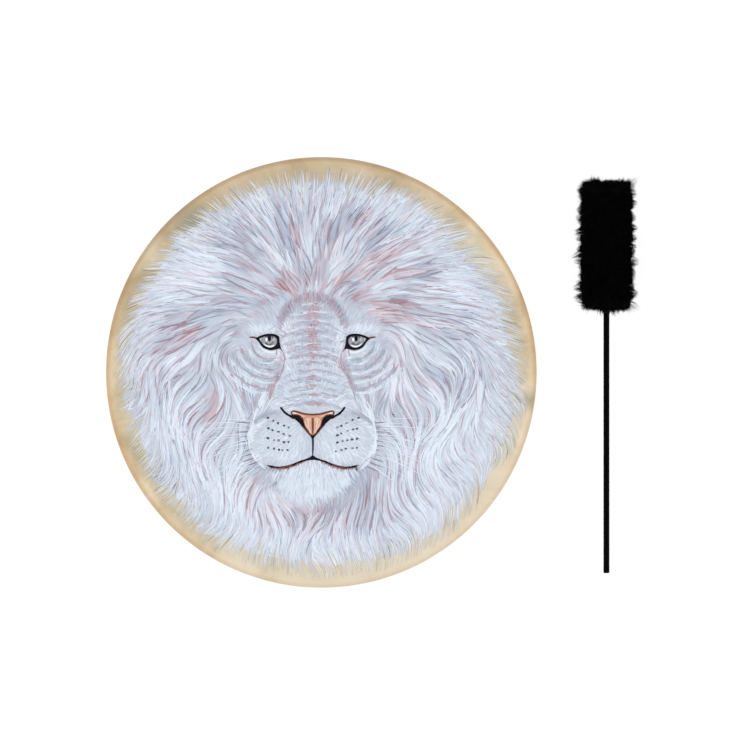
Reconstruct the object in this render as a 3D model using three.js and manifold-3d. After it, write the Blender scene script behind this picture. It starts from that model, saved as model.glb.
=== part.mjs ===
// A frame drum and the furry beater that belongs to it, in millimetres, with +Z up.
//
// The drum lies on its back rim with its head facing up. The origin is the centre of the head's
// outer face, and Z is the drum's axis. The beater lies beside the drum on +X, along Y, on the
// same surface: its furry head and the free end of its rod both touch that surface.

import * as THREE from 'three';
import { mergeVertices } from 'three/addons/utils/BufferGeometryUtils.js';
import Module from 'manifold-3d';

const wasm = await Module();
wasm.setup();

// Gap kept between pieces that touch on the real object.
const GAP = 0.3;

// The drum: one goatskin over a bent-wood hoop of three plies.
const DRUM_RADIUS = 228.6;
const DRUM_DEPTH = 62;
const SKIN_THICKNESS = 1.2;
const SHOULDER_RADIUS = 4.5;
const HEEL_RADIUS = 3;
const HOOP_SIDES = 72;
const PLY_COUNT = 3;
const PLY_THICKNESS = 2.6;
const SCARF_LENGTH = 26;
const BEARING_BEVEL = 2.6;

// The skin's turned-in flange at the back, which carries the lacing.
const FLANGE_START = 218.2;
const FLANGE_WIDTH = 21;
const FLANGE_SLOPE = THREE.MathUtils.degToRad(28);
const LACE_HOLE_RADIUS = 4;
const LACE_CIRCLE_RADIUS = 207.5;

// The lacing: four laces, each with four legs, that hold the handle ring.
const BUNDLE_COUNT = 4;
const LEGS_PER_BUNDLE = 4;
const LACE_RADIUS = 1.7;
const KNOT_RADIUS = 2.4;
const RING_RADIUS = 26;
const RING_WIRE_RADIUS = 3;
const RING_HEIGHT = -46;
const BUNDLE_START = 39;
const BUNDLE_END = 92;
const WRAP_RADIUS = 7;

// The beater: a thin black rod whose padded head wears a sleeve of fur.
const BEATER_X = 302.7;
const BEATER_END_Y = -213;
const ROD_RADIUS = 3.175;
const ROD_LENGTH = 405;
const COVER_RADIUS = 27.5;
const COVER_START = 283;
const COVER_LENGTH = 134;
const COVER_CORNER = 9;
const COVER_THICKNESS = 9;
const CORE_RADIUS = 11;
const NECK_LENGTH = 7;
const NECK_RADIUS = 5.6;
const BINDING_RADIUS = 7.2;
const BINDING_LENGTH = 5;

const FLOOR = -DRUM_DEPTH;
const HOOP_RADIUS = DRUM_RADIUS - SKIN_THICKNESS - GAP;
const PLY_PITCH = PLY_THICKNESS + GAP;
const BUNDLE_OFFSET = LACE_RADIUS + GAP / 2;
const HOLE_STEP = (2 * Math.PI) / (BUNDLE_COUNT * LEGS_PER_BUNDLE);

const skinMaterial = new THREE.MeshStandardMaterial({ color: 0xd8c6a2, roughness: 0.55, metalness: 0 });
const laceMaterial = new THREE.MeshStandardMaterial({ color: 0xc9a877, roughness: 0.6, metalness: 0 });
const woodMaterial = new THREE.MeshStandardMaterial({ color: 0xc79c66, roughness: 0.5, metalness: 0 });
const leatherMaterial = new THREE.MeshStandardMaterial({ color: 0x5f3b22, roughness: 0.7, metalness: 0 });
const steelMaterial = new THREE.MeshStandardMaterial({ color: 0xb8b8b8, roughness: 0.3, metalness: 1 });
const rodMaterial = new THREE.MeshStandardMaterial({ color: 0x0c0c0c, roughness: 0.35, metalness: 0 });
const furMaterial = new THREE.MeshStandardMaterial({ color: 0x060606, roughness: 0.9, metalness: 0 });
const feltMaterial = new THREE.MeshStandardMaterial({ color: 0x8d8a84, roughness: 0.95, metalness: 0 });
const threadMaterial = new THREE.MeshStandardMaterial({ color: 0x101010, roughness: 0.7, metalness: 0 });

function piece(name, geometry, material) {
  const mesh = new THREE.Mesh(geometry, material);
  mesh.name = name;
  return mesh;
}

// Turns a profile of [radius, height] points about the Z axis.
function turnedAboutZ(profile, sides) {
  const points = profile.map(([radius, height]) => new THREE.Vector2(radius, height));
  return new THREE.LatheGeometry(points, sides).rotateX(Math.PI / 2);
}

// Turns a profile of [radius, distance] points about the Y axis.
function turnedAboutY(profile, sides) {
  const points = profile.map(([radius, distance]) => new THREE.Vector2(radius, distance));
  return new THREE.LatheGeometry(points, sides);
}

// Points of an arc from one angle to another, both ends included.
function arc(centreRadius, centreHeight, radius, fromDegrees, toDegrees, steps) {
  const points = [];
  for (let i = 0; i <= steps; i += 1) {
    const angle = THREE.MathUtils.degToRad(fromDegrees + ((toDegrees - fromDegrees) * i) / steps);
    points.push([centreRadius + radius * Math.cos(angle), centreHeight + radius * Math.sin(angle)]);
  }
  return points;
}

// A closed geometry as a manifold solid, for cutting and joining.
function toSolid(geometry) {
  const bare = geometry.clone();
  bare.deleteAttribute('normal');
  bare.deleteAttribute('uv');
  const merged = mergeVertices(bare, 1e-3);
  const corners = merged.index.array;
  const triangles = [];
  for (let i = 0; i < corners.length; i += 3) {
    const [a, b, c] = [corners[i], corners[i + 1], corners[i + 2]];
    if (a !== b && b !== c && c !== a) {
      triangles.push(a, b, c);
    }
  }
  const mesh = new wasm.Mesh({
    numProp: 3,
    vertProperties: new Float32Array(merged.attributes.position.array),
    triVerts: new Uint32Array(triangles),
  });
  return new wasm.Manifold(mesh);
}

function toGeometry(solid) {
  const mesh = solid.getMesh();
  const geometry = new THREE.BufferGeometry();
  geometry.setAttribute('position', new THREE.BufferAttribute(new Float32Array(mesh.vertProperties), 3));
  geometry.setIndex(new THREE.BufferAttribute(new Uint32Array(mesh.triVerts), 1));
  return geometry;
}

// Height of the flange's middle surface at a distance from the drum's axis.
function flangeHeight(radius) {
  return FLOOR + SKIN_THICKNESS / 2 + (FLANGE_START - radius) * Math.tan(FLANGE_SLOPE);
}

// Direction out of the flange's upper face, in the upright plane at the given angle.
function flangeNormal(angle) {
  const outward = Math.sin(FLANGE_SLOPE);
  return new THREE.Vector3(outward * Math.cos(angle), outward * Math.sin(angle), Math.cos(FLANGE_SLOPE));
}

function lacePoint(angle) {
  return new THREE.Vector3(
    LACE_CIRCLE_RADIUS * Math.cos(angle),
    LACE_CIRCLE_RADIUS * Math.sin(angle),
    flangeHeight(LACE_CIRCLE_RADIUS),
  );
}

// The skin: a flat head, a shoulder over the bearing edge, the side, the heel and the flange.
function skinProfile() {
  const inside = DRUM_RADIUS - SKIN_THICKNESS;
  const shoulder = DRUM_RADIUS - SHOULDER_RADIUS;
  const heel = DRUM_RADIUS - HEEL_RADIUS;
  const heelHeight = FLOOR + HEEL_RADIUS;
  const rise = FLANGE_WIDTH * Math.tan(FLANGE_SLOPE);
  const half = SKIN_THICKNESS / 2;
  const edgeRadius = FLANGE_START - FLANGE_WIDTH;
  const underEdge = [edgeRadius - half * Math.sin(FLANGE_SLOPE), FLOOR + half + rise - half * Math.cos(FLANGE_SLOPE)];
  const overEdge = [edgeRadius + half * Math.sin(FLANGE_SLOPE), FLOOR + half + rise + half * Math.cos(FLANGE_SLOPE)];
  return [
    [0, -SKIN_THICKNESS],
    ...arc(shoulder, -SHOULDER_RADIUS, SHOULDER_RADIUS - SKIN_THICKNESS, 90, 0, 4),
    [inside, heelHeight],
    ...arc(heel, heelHeight, HEEL_RADIUS - SKIN_THICKNESS, 0, -90, 3).slice(1),
    [FLANGE_START, FLOOR + SKIN_THICKNESS],
    overEdge,
    underEdge,
    [FLANGE_START, FLOOR],
    ...arc(heel, heelHeight, HEEL_RADIUS, -90, 0, 3),
    ...arc(shoulder, -SHOULDER_RADIUS, SHOULDER_RADIUS, 0, 90, 4),
    [0, 0],
  ];
}

function laceHole(angle) {
  const drill = new THREE.CylinderGeometry(LACE_HOLE_RADIUS, LACE_HOLE_RADIUS, 6 * SKIN_THICKNESS, 12);
  const place = new THREE.Matrix4().makeRotationFromQuaternion(
    new THREE.Quaternion().setFromUnitVectors(new THREE.Vector3(0, 1, 0), flangeNormal(angle)),
  );
  place.setPosition(lacePoint(angle));
  return toSolid(drill.applyMatrix4(place));
}

function skin() {
  let solid = toSolid(turnedAboutZ(skinProfile(), HOOP_SIDES));
  for (let i = 0; i < BUNDLE_COUNT * LEGS_PER_BUNDLE; i += 1) {
    solid = solid.subtract(laceHole((i + 0.5) * HOLE_STEP));
  }
  return piece('drumhead_skin', toGeometry(solid), skinMaterial);
}

// One ply of the hoop. The outer one is rounded to the skin's shoulder and heel, and the inner
// one is bevelled, so that the skin bears on the middle of the hoop's edge only.
function plyProfile(index) {
  const outside = HOOP_RADIUS - index * PLY_PITCH;
  const inside = outside - PLY_THICKNESS;
  const top = -SKIN_THICKNESS - GAP;
  const bottom = FLOOR + SKIN_THICKNESS + GAP;
  if (index === 0) {
    return [
      [inside, bottom],
      [outside - 1.5, bottom],
      [outside, bottom + 1.5],
      ...arc(outside - 3, -SHOULDER_RADIUS, 3, 0, 78, 3),
      [inside, top],
      [inside, bottom],
    ];
  }
  const bevel = index === PLY_COUNT - 1 ? BEARING_BEVEL : 0;
  return [
    [inside, bottom],
    [outside, bottom],
    [outside, top],
    [inside, top - bevel],
    [inside, bottom],
  ];
}

// A ply is a strip bent round until its two tapered ends meet in a scarf joint.
function ply(name, index) {
  const middle = HOOP_RADIUS - index * PLY_PITCH - PLY_THICKNESS / 2;
  const seam = new THREE.BoxGeometry(2 * GAP, 1.4 * SCARF_LENGTH, 2 * DRUM_DEPTH);
  seam.rotateZ(Math.atan2(PLY_THICKNESS, SCARF_LENGTH));
  seam.translate(middle, 0, FLOOR / 2);
  seam.rotateZ(Math.PI / 4 + (index * 2 * Math.PI) / PLY_COUNT);
  const solid = toSolid(turnedAboutZ(plyProfile(index), HOOP_SIDES)).subtract(toSolid(seam));
  return piece(name, toGeometry(solid), woodMaterial);
}

// A curve whose sections fall on its own points, close together in the bends and far apart in
// the straight legs.
class LaceCurve extends THREE.CatmullRomCurve3 {
  getUtoTmapping(u) {
    return u;
  }
}

// Points of one leg from below its hole, up through the flange and in to the bundle's end.
// sideways is the direction in which the lace leaves the hole below the flange.
function legPoints(angle, bundleEnd, sideways) {
  const hole = lacePoint(angle);
  const normal = flangeNormal(angle);
  const tangent = new THREE.Vector3(-Math.sin(angle), Math.cos(angle), 0).multiplyScalar(sideways);
  const inward = bundleEnd.clone().sub(hole).setZ(0).normalize();
  const below = SKIN_THICKNESS / 2 + LACE_RADIUS + GAP;
  const edgeHeight = flangeHeight(FLANGE_START - FLANGE_WIDTH);
  return [
    hole.clone().addScaledVector(normal, -below).addScaledVector(tangent, 2.4),
    hole.clone().addScaledVector(normal, -0.7 * below).addScaledVector(tangent, 0.5),
    hole.clone().addScaledVector(normal, 1),
    hole.clone().addScaledVector(inward, 2.6).setZ(hole.z + 4.2),
    hole.clone().addScaledVector(inward, 8).setZ(edgeHeight + 3),
    bundleEnd.clone().addScaledVector(inward, -3),
    bundleEnd,
  ];
}

// The lace's turn round the ring's wire, from the upper leg to the lower one.
function ringTurn(side) {
  const reach = RING_WIRE_RADIUS + LACE_RADIUS + GAP;
  const points = [];
  for (let degrees = 70; degrees <= 290; degrees += 27.5) {
    const angle = THREE.MathUtils.degToRad(degrees);
    points.push(new THREE.Vector3(
      RING_RADIUS + reach * Math.cos(angle),
      side * BUNDLE_OFFSET,
      RING_HEIGHT + reach * Math.sin(angle),
    ));
  }
  return points;
}

// One lace: from a stopper knot under the flange to the ring, back out, on to the next hole,
// and in and out once more to its other knot. It is laid out along +X.
function lacePath() {
  const bundlePoint = (x, side, level) => new THREE.Vector3(
    x,
    side * BUNDLE_OFFSET,
    RING_HEIGHT + level * BUNDLE_OFFSET,
  );
  const half = (side) => {
    const upper = legPoints(side * 1.5 * HOLE_STEP, bundlePoint(BUNDLE_END, side, 1), 0);
    const lower = legPoints(side * 0.5 * HOLE_STEP, bundlePoint(BUNDLE_END, side, -1), -side);
    return [
      ...upper,
      bundlePoint(BUNDLE_START, side, 1),
      ...ringTurn(side),
      bundlePoint(BUNDLE_START, side, -1),
      ...lower.reverse(),
    ];
  };
  return [...half(1), ...half(-1).reverse()];
}

function lace(name, bundleAngle) {
  const points = lacePath();
  const section = new THREE.Shape().absarc(0, 0, LACE_RADIUS, 0, 2 * Math.PI);
  const tube = new THREE.ExtrudeGeometry(section, {
    steps: points.length - 1,
    curveSegments: 4,
    extrudePath: new LaceCurve(points),
  });
  let solid = toSolid(tube);
  for (const side of [1, -1]) {
    const angle = side * 1.5 * HOLE_STEP;
    const depth = SKIN_THICKNESS / 2 + KNOT_RADIUS + GAP;
    const centre = lacePoint(angle).addScaledVector(flangeNormal(angle), -depth);
    const knot = new THREE.SphereGeometry(KNOT_RADIUS, 10, 6).translate(centre.x, centre.y, centre.z);
    solid = solid.add(toSolid(knot));
  }
  return piece(name, toGeometry(solid).rotateZ(bundleAngle), laceMaterial);
}

// The leather wound round one bundle of four legs, which makes one arm of the cross handle.
function handleWrap(name, bundleAngle) {
  const inside = Math.SQRT2 * BUNDLE_OFFSET + LACE_RADIUS + GAP;
  const start = BUNDLE_START + 2;
  const end = BUNDLE_END - 4;
  const taper = 2;
  const profile = [
    [inside, start],
    [WRAP_RADIUS - 1, start],
    [WRAP_RADIUS, start + taper],
    [WRAP_RADIUS, end - taper],
    [WRAP_RADIUS - 1, end],
    [inside, end],
    [inside, start],
  ];
  const geometry = turnedAboutY(profile, 16).rotateZ(bundleAngle - Math.PI / 2);
  return piece(name, geometry.translate(0, 0, RING_HEIGHT), leatherMaterial);
}

function handleRing() {
  const geometry = new THREE.TorusGeometry(RING_RADIUS, RING_WIRE_RADIUS, 12, 40);
  return piece('handle_ring', geometry.translate(0, 0, RING_HEIGHT), steelMaterial);
}

function beaterRod() {
  const chamfer = 0.4;
  const profile = [
    [0, 0],
    [ROD_RADIUS - chamfer, 0],
    [ROD_RADIUS, chamfer],
    [ROD_RADIUS, ROD_LENGTH],
    [0, ROD_LENGTH],
  ];
  return piece('beater_rod', turnedAboutY(profile, 24), rodMaterial);
}

// The stiff core that is glued to the rod's end inside the head.
function beaterCore() {
  const start = COVER_START + COVER_THICKNESS + GAP;
  const end = ROD_LENGTH;
  const bore = ROD_RADIUS + GAP;
  const profile = [
    [bore, start],
    [CORE_RADIUS, start],
    [CORE_RADIUS, end],
    [bore, end],
    [bore, start],
  ];
  return piece('beater_core', turnedAboutY(profile, 24), woodMaterial);
}

// The felt wound round the core.
function beaterPadding() {
  const inside = CORE_RADIUS + GAP;
  const outside = COVER_RADIUS - COVER_THICKNESS - GAP;
  const start = COVER_START + COVER_THICKNESS + GAP;
  const end = ROD_LENGTH;
  const profile = [
    [inside, start],
    [outside, start],
    [outside, end],
    [inside, end],
    [inside, start],
  ];
  return piece('beater_padding', turnedAboutY(profile, 24), feltMaterial);
}

// The sleeve of fur: closed at the tip, and drawn in to a short neck on the rod.
function furCover() {
  const end = COVER_START + COVER_LENGTH;
  const corner = COVER_RADIUS - COVER_CORNER;
  const insideRadius = COVER_RADIUS - COVER_THICKNESS;
  const bore = ROD_RADIUS + GAP;
  const neckStart = COVER_START - NECK_LENGTH;
  const profile = [
    [bore, neckStart],
    [NECK_RADIUS, neckStart],
    [NECK_RADIUS, COVER_START],
    ...arc(corner, COVER_START + COVER_CORNER, COVER_CORNER, -90, 0, 4),
    ...arc(corner, end - COVER_CORNER, COVER_CORNER, 0, 90, 4),
    [0, end],
    [0, ROD_LENGTH + GAP],
    [insideRadius, ROD_LENGTH + GAP],
    [insideRadius, COVER_START + COVER_THICKNESS],
    [bore, COVER_START + COVER_THICKNESS],
    [bore, neckStart],
  ];
  return piece('beater_fur_cover', turnedAboutY(profile, 32), furMaterial);
}

// The waxed thread that ties the cover's neck to the rod.
function neckBinding() {
  const start = COVER_START - NECK_LENGTH + 1;
  const inside = NECK_RADIUS + GAP;
  const round = (BINDING_RADIUS - inside) / 2;
  const profile = [
    [inside, start],
    [inside + round, start],
    [BINDING_RADIUS, start + round],
    [BINDING_RADIUS, start + BINDING_LENGTH - round],
    [inside + round, start + BINDING_LENGTH],
    [inside, start + BINDING_LENGTH],
    [inside, start],
  ];
  return piece('beater_neck_binding', turnedAboutY(profile, 24), threadMaterial);
}

// The beater rests on its rod's free end and on the lower shoulder of its head, which tilts it.
function beater() {
  const shoulder = COVER_START + COVER_CORNER;
  const tilt = Math.atan2(COVER_RADIUS - ROD_RADIUS, shoulder);
  const assembly = new THREE.Group();
  assembly.add(beaterRod(), beaterCore(), beaterPadding(), furCover(), neckBinding());
  assembly.rotation.x = tilt;
  assembly.position.set(BEATER_X, BEATER_END_Y, FLOOR + ROD_RADIUS * Math.cos(tilt));
  return assembly;
}

function drum() {
  const assembly = new THREE.Group();
  assembly.add(skin());
  ['outer', 'middle', 'inner'].forEach((place, index) => {
    assembly.add(ply(`hoop_ply_${place}`, index));
  });
  assembly.add(handleRing());
  ['right', 'top', 'left', 'bottom'].forEach((place, index) => {
    const angle = (index * 2 * Math.PI) / BUNDLE_COUNT;
    assembly.add(lace(`lace_${place}`, angle));
    assembly.add(handleWrap(`handle_wrap_${place}`, angle));
  });
  return assembly;
}

const group = new THREE.Group();
group.add(drum(), beater());
export default group;
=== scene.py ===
"""The looks of a painted frame drum and its furry beater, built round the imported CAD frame.

The drum lies head up at the origin and the beater lies beside it. Lengths are in metres, in the
frame's own axes. The painting is laid out in head radii, from the face's own upright axis, and its
strokes' widths and heights are in millimetres.
"""
import math

import bpy
import numpy as np
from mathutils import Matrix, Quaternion, Vector


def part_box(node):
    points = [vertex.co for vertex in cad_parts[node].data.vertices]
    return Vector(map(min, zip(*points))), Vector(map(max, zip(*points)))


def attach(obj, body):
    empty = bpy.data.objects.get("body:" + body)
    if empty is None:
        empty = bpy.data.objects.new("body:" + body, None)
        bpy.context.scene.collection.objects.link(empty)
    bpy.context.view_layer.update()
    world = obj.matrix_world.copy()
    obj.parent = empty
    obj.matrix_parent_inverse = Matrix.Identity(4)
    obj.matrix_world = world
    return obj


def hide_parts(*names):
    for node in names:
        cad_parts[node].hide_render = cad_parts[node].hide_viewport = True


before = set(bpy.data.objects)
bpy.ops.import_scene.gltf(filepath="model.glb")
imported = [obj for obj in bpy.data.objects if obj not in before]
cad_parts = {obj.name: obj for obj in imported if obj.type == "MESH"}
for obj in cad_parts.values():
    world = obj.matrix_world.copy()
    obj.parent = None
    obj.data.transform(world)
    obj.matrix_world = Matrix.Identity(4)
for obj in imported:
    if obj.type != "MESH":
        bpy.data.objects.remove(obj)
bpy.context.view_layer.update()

MM = 0.001
TAU = 2 * math.pi

# The drum, as the frame gives it.
skin_low, skin_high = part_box("drumhead_skin")
HEAD_RADIUS = skin_high.x
BACK_Z = skin_low.z
ring_low, ring_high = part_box("handle_ring")
RING_Z = (ring_low.z + ring_high.z) / 2
RING_WIRE = (ring_high.z - ring_low.z) / 2
RING_RADIUS = ring_high.x - RING_WIRE
wrap_low, wrap_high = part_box("handle_wrap_right")
WRAP_RADIUS = (wrap_high.z - wrap_low.z) / 2

# The hide, the hoop under it and the lacing, as the CAD model builds them.
SKIN = 1.2 * MM
GAP = 0.3 * MM
SHOULDER = 4.5 * MM
HEEL = 3 * MM
FLANGE_START = HEAD_RADIUS - 10.4 * MM
FLANGE_WIDTH = 21 * MM
FLANGE_SLOPE = math.radians(28)
FLANGE_RISE = FLANGE_WIDTH * math.tan(FLANGE_SLOPE)
LACE_CIRCLE = HEAD_RADIUS - 21.1 * MM
LACE_RADIUS = 1.7 * MM
LACE_HOLE = 2.3 * MM
ARMS = ("right", "top", "left", "bottom")
LEGS = 4
HOLE_COUNT = LEGS * len(ARMS)
HOLE_STEP = TAU / HOLE_COUNT
BUNDLE_OFFSET = LACE_RADIUS + GAP / 2
BUNDLE_START = 39 * MM
BUNDLE_END = 92 * MM
PLIES = ("outer", "middle", "inner")
PLY_THICKNESS = 2.6 * MM

# The camera looks straight down on the head. Its rays are parallel, as from far away, because no
# side of the drum may show, and it hangs near so that the thin layers of paint stay apart.
VIEW_WIDTH = 3.4834 * HEAD_RADIUS
VIEW_CENTRE = Vector((0.2493 * HEAD_RADIUS, -0.0122 * HEAD_RADIUS, 0))
CAMERA_HEIGHT = 0.45

# The studio is this much brighter than makes a white sheet just white, so that the floor stays
# clean white round the drum. Colours are written as they look in it.
STUDIO_GAIN = 1.22
FLOOR_GLOW = 0.92


def linear(rgb):
    """Screen colours from 0 to 255 as the linear reflectances that look so in the studio."""
    shares = [c / 255 for c in rgb]
    light = [c / 12.92 if c <= 0.04045 else ((c + 0.055) / 1.055) ** 2.4 for c in shares]
    return tuple(c / STUDIO_GAIN for c in light)


def put_in_scene(name, data):
    made = bpy.data.objects.new(name, data)
    bpy.context.scene.collection.objects.link(made)
    return made


# ---------------------------------------------------------------- camera, floor and light

def add_camera():
    data = bpy.data.cameras.new("camera")
    data.type = "ORTHO"
    data.ortho_scale = VIEW_WIDTH
    camera = put_in_scene("camera", data)
    camera.location = VIEW_CENTRE + Vector((0, 0, CAMERA_HEIGHT))
    bpy.context.scene.camera = camera


def add_floor():
    """A light table: its own glow keeps it white in the drum's and the beater's shadows."""
    height = BACK_Z - 0.05 * MM
    corners = [(x, y, height) for x, y in ((-6, -6), (6, -6), (6, 6), (-6, 6))]
    mesh = mesh_from("floor", corners, [range(4)], smooth=False)
    plain = Finish("floor_white", (253, 253, 253), 0.9, 0.1)
    plain.inputs["Base Color"].default_value = (0.1, 0.1, 0.1, 1)
    plain.inputs["Emission Color"].default_value = (1, 1, 1, 1)
    plain.inputs["Emission Strength"].default_value = FLOOR_GLOW
    mesh.materials.append(plain.material)
    put_in_scene("floor", mesh)


def add_light():
    world = bpy.data.worlds.new("studio")
    world.use_nodes = True
    sky = world.node_tree.nodes["Background"].inputs
    sky["Color"].default_value = (1, 1, 1, 1)
    sky["Strength"].default_value = 0.86 * STUDIO_GAIN
    bpy.context.scene.world = world
    for name, place, size, power in (
        ("key_light", (-1.6, 1.5, 2.6), 2.2, 19),
        ("fill_light", (1.9, -1.2, 2.4), 2.4, 7),
    ):
        data = bpy.data.lights.new(name, "AREA")
        data.size = size
        data.energy = power * STUDIO_GAIN
        lamp = put_in_scene(name, data)
        lamp.location = place
        lamp.rotation_euler = (-Vector(place)).to_track_quat("-Z", "Y").to_euler()
    bpy.context.scene.view_settings.view_transform = "Standard"


# ---------------------------------------------------------------- material helpers

class Field:
    """What a node gives at each point of a surface. Arithmetic on it makes Math nodes."""

    def __init__(self, tree, socket):
        self.tree, self.socket = tree, socket

    def __add__(self, other):
        return calculate("ADD", self, other)

    def __sub__(self, other):
        return calculate("SUBTRACT", self, other)

    def __rsub__(self, other):
        return calculate("SUBTRACT", other, self)

    def __mul__(self, other):
        return calculate("MULTIPLY", self, other)

    def __truediv__(self, other):
        return calculate("DIVIDE", self, other)


class Finish:
    """A Principled material in the making. Its colour is a screen colour from 0 to 255."""

    def __init__(self, name, colour, roughness, specular=0.5):
        self.material = bpy.data.materials.new(name)
        self.material.use_nodes = True
        self.material.diffuse_color = (*linear(colour), 1)
        self.tree = self.material.node_tree
        self.inputs = self.tree.nodes["Principled BSDF"].inputs
        looks = {"Base Color": colour, "Roughness": roughness, "Specular IOR Level": specular}
        for socket, value in looks.items():
            feed(self.tree, self.inputs[socket], value)

    def place(self, stretch=None):
        """Where each point is on the object, in metres, with the axes stretched if asked."""
        here = add_node(self.tree, "TexCoord", [], "Object")
        return scaled(here, stretch) if stretch else here

    def dress(self, colour, relief, depth, strength, roughness=None):
        """Links fields for colour, relief (its depth in millimetres) and roughness; gives the material."""
        bumped = add_node(self.tree, "Bump", [strength, depth * MM, None, relief])
        for socket, value in (("Base Color", colour), ("Normal", bumped), ("Roughness", roughness)):
            feed(self.tree, self.inputs[socket], value)
        return self.material


def feed(tree, socket, value):
    """Links a field to a node's input, or sets the input. None leaves it as it is."""
    if isinstance(value, Field):
        tree.links.new(value.socket, socket)
    elif value is not None:
        socket.default_value = (*linear(value), 1) if socket.type == "RGBA" else value


def add_node(tree, kind, inputs, output=None, **settings):
    """A new node with its inputs fed in order; gives the named output, or else the first."""
    node = tree.nodes.new(f"ShaderNode{kind}")
    for name, value in settings.items():
        setattr(node, name, value)
    for socket, value in zip([s for s in node.inputs if s.enabled], inputs):
        feed(tree, socket, value)
    return Field(tree, node.outputs[output] if output else next(s for s in node.outputs if s.enabled))


def calculate(operation, *values):
    tree = next(v.tree for v in values if isinstance(v, Field))
    return add_node(tree, "Math", values, operation=operation)


def scaled(place, stretch):
    return add_node(place.tree, "Mapping", [place, None, None, stretch])


def noise(place, scale, detail=4, roughness=0.55, distortion=0):
    return add_node(place.tree, "TexNoise", [place, scale, detail, roughness, None, distortion])


def ramp(share, *stops):
    """Colours at places from 0 to 1, read at a share. A number stands for a grey."""
    made = add_node(share.tree, "ValToRGB", [share])
    elements = made.socket.node.color_ramp.elements
    for _ in stops[2:]:
        elements.new(0.5)
    for element, (place, colour) in zip(elements, stops):
        element.position = place
        element.color = (*(linear(colour) if isinstance(colour, tuple) else [colour] * 3), 1)
    return made


def mix(share, first, second):
    """Two colours mixed; either may be a field or a screen colour."""
    return add_node(share.tree, "Mix", [share, first, second], data_type="RGBA")


def split(place):
    """A place's x, y and z, and its distance from the drum's axis."""
    apart = add_node(place.tree, "SeparateXYZ", [place]).socket.node.outputs
    x, y, z = (Field(place.tree, socket) for socket in apart)
    return x, y, z, calculate("SQRT", x * x + y * y)


# ---------------------------------------------------------------- mesh helpers

def add_piece(name, mesh, materials, body, replaces=()):
    """Puts a finished mesh in the scene as a piece that rides on a body."""
    for entry in materials:
        mesh.materials.append(entry)
    piece = put_in_scene(name, mesh)
    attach(piece, body)
    if replaces:
        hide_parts(*replaces)
    return piece


def mesh_from(name, vertices, faces, smooth=True):
    mesh = bpy.data.meshes.new(name)
    mesh.from_pydata([tuple(v) for v in vertices], [], [tuple(f) for f in faces])
    mesh.update()
    mesh.polygons.foreach_set("use_smooth", [smooth] * len(mesh.polygons))
    return mesh


def triangle_mesh(name, vertices, triangles, material_numbers):
    """A flat-shaded mesh from arrays, which is much faster than from lists."""
    mesh = bpy.data.meshes.new(name)
    mesh.vertices.add(len(vertices))
    mesh.vertices.foreach_set("co", np.asarray(vertices, np.float32).ravel())
    mesh.loops.add(3 * len(triangles))
    mesh.loops.foreach_set("vertex_index", np.asarray(triangles, np.int32).ravel())
    mesh.polygons.add(len(triangles))
    mesh.polygons.foreach_set("loop_start", np.arange(0, 3 * len(triangles), 3, dtype=np.int32))
    mesh.polygons.foreach_set("use_smooth", np.zeros(len(triangles), bool))
    mesh.polygons.foreach_set("material_index", np.asarray(material_numbers, np.int32))
    mesh.update(calc_edges=True)
    mesh.validate()
    return mesh


def repeat_faces(faces, corners, count):
    """The faces of one small body of so many corners, repeated for count such bodies."""
    return (np.array(faces)[None] + corners * np.arange(count)[:, None, None]).reshape(-1, 3)


def tube_faces(rings, sides, closed=False, first=0):
    """Quads between rings of vertices, and a cap on each end unless the last ring meets the first."""
    rows = [[first + i * sides + k for k in range(sides)] for i in range(rings)]
    faces = []
    for i in range(rings if closed else rings - 1):
        row, after = rows[i], rows[(i + 1) % rings]
        for k in range(sides):
            m = (k + 1) % sides
            faces.append((row[k], row[m], after[m], after[k]))
    return faces if closed else [*faces, rows[0][::-1], rows[-1]]


def sweep(name, points, section_at, sides, closed=False):
    """A tube along points; section_at(share) gives its half width, half height and twist there."""
    points = [Vector(p) for p in points]
    count = len(points)
    tangents = []
    for i in range(count):
        before = points[(i - 1) % count] if closed or i else points[0]
        after = points[(i + 1) % count] if closed or i < count - 1 else points[-1]
        tangents.append((after - before).normalized())
    side = tangents[0].orthogonal().normalized()
    vertices = []
    for i, (point, tangent) in enumerate(zip(points, tangents)):
        if i:
            side = tangents[i - 1].rotation_difference(tangent) @ side
        half_width, half_height, twist = section_at(i / (count - 1))
        turned = Quaternion(tangent, twist) @ side
        wide, tall = turned * half_width, tangent.cross(turned) * half_height
        vertices += [point + wide * math.cos(a) + tall * math.sin(a) for a in angles_round(sides)]
    return mesh_from(name, vertices, tube_faces(count, sides, closed))


def angles_round(count):
    return [TAU * k / count for k in range(count)]


def smooth_path(points, step):
    """Points every step or so along a Catmull-Rom curve through the given ones."""
    points = [np.array(p, float) for p in points]
    padded = [2 * points[0] - points[1], *points, 2 * points[-1] - points[-2]]
    made = []
    for near in zip(padded, padded[1:], padded[2:], padded[3:]):
        steps = max(1, round(float(np.linalg.norm(near[2] - near[1])) / step))
        knots = np.cumsum([0, *[np.linalg.norm(b - a) ** 0.5 for a, b in zip(near, near[1:])]])
        for i in range(steps):
            t = knots[1] + (knots[2] - knots[1]) * i / steps
            level = near
            for spans in (((0, 1), (1, 2), (2, 3)), ((0, 2), (1, 3)), ((1, 2),)):
                level = [
                    a + (b - a) * (t - knots[start]) / (knots[end] - knots[start])
                    for a, b, (start, end) in zip(level, level[1:], spans)
                ]
            made.append(level[0])
    return [*made, points[-1]]


def arc_points(centre, radius, start, end, steps):
    angles = np.radians(np.linspace(start, end, steps + 1))
    return [(centre[0] + radius * math.cos(a), centre[1] + radius * math.sin(a)) for a in angles]


def smoothstep(low, high, value):
    """0 up to low, 1 from high on, and smooth between. With low above high it falls."""
    share = np.clip((value - low) / (high - low), 0, 1)
    return share * share * (3 - 2 * share)


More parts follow.
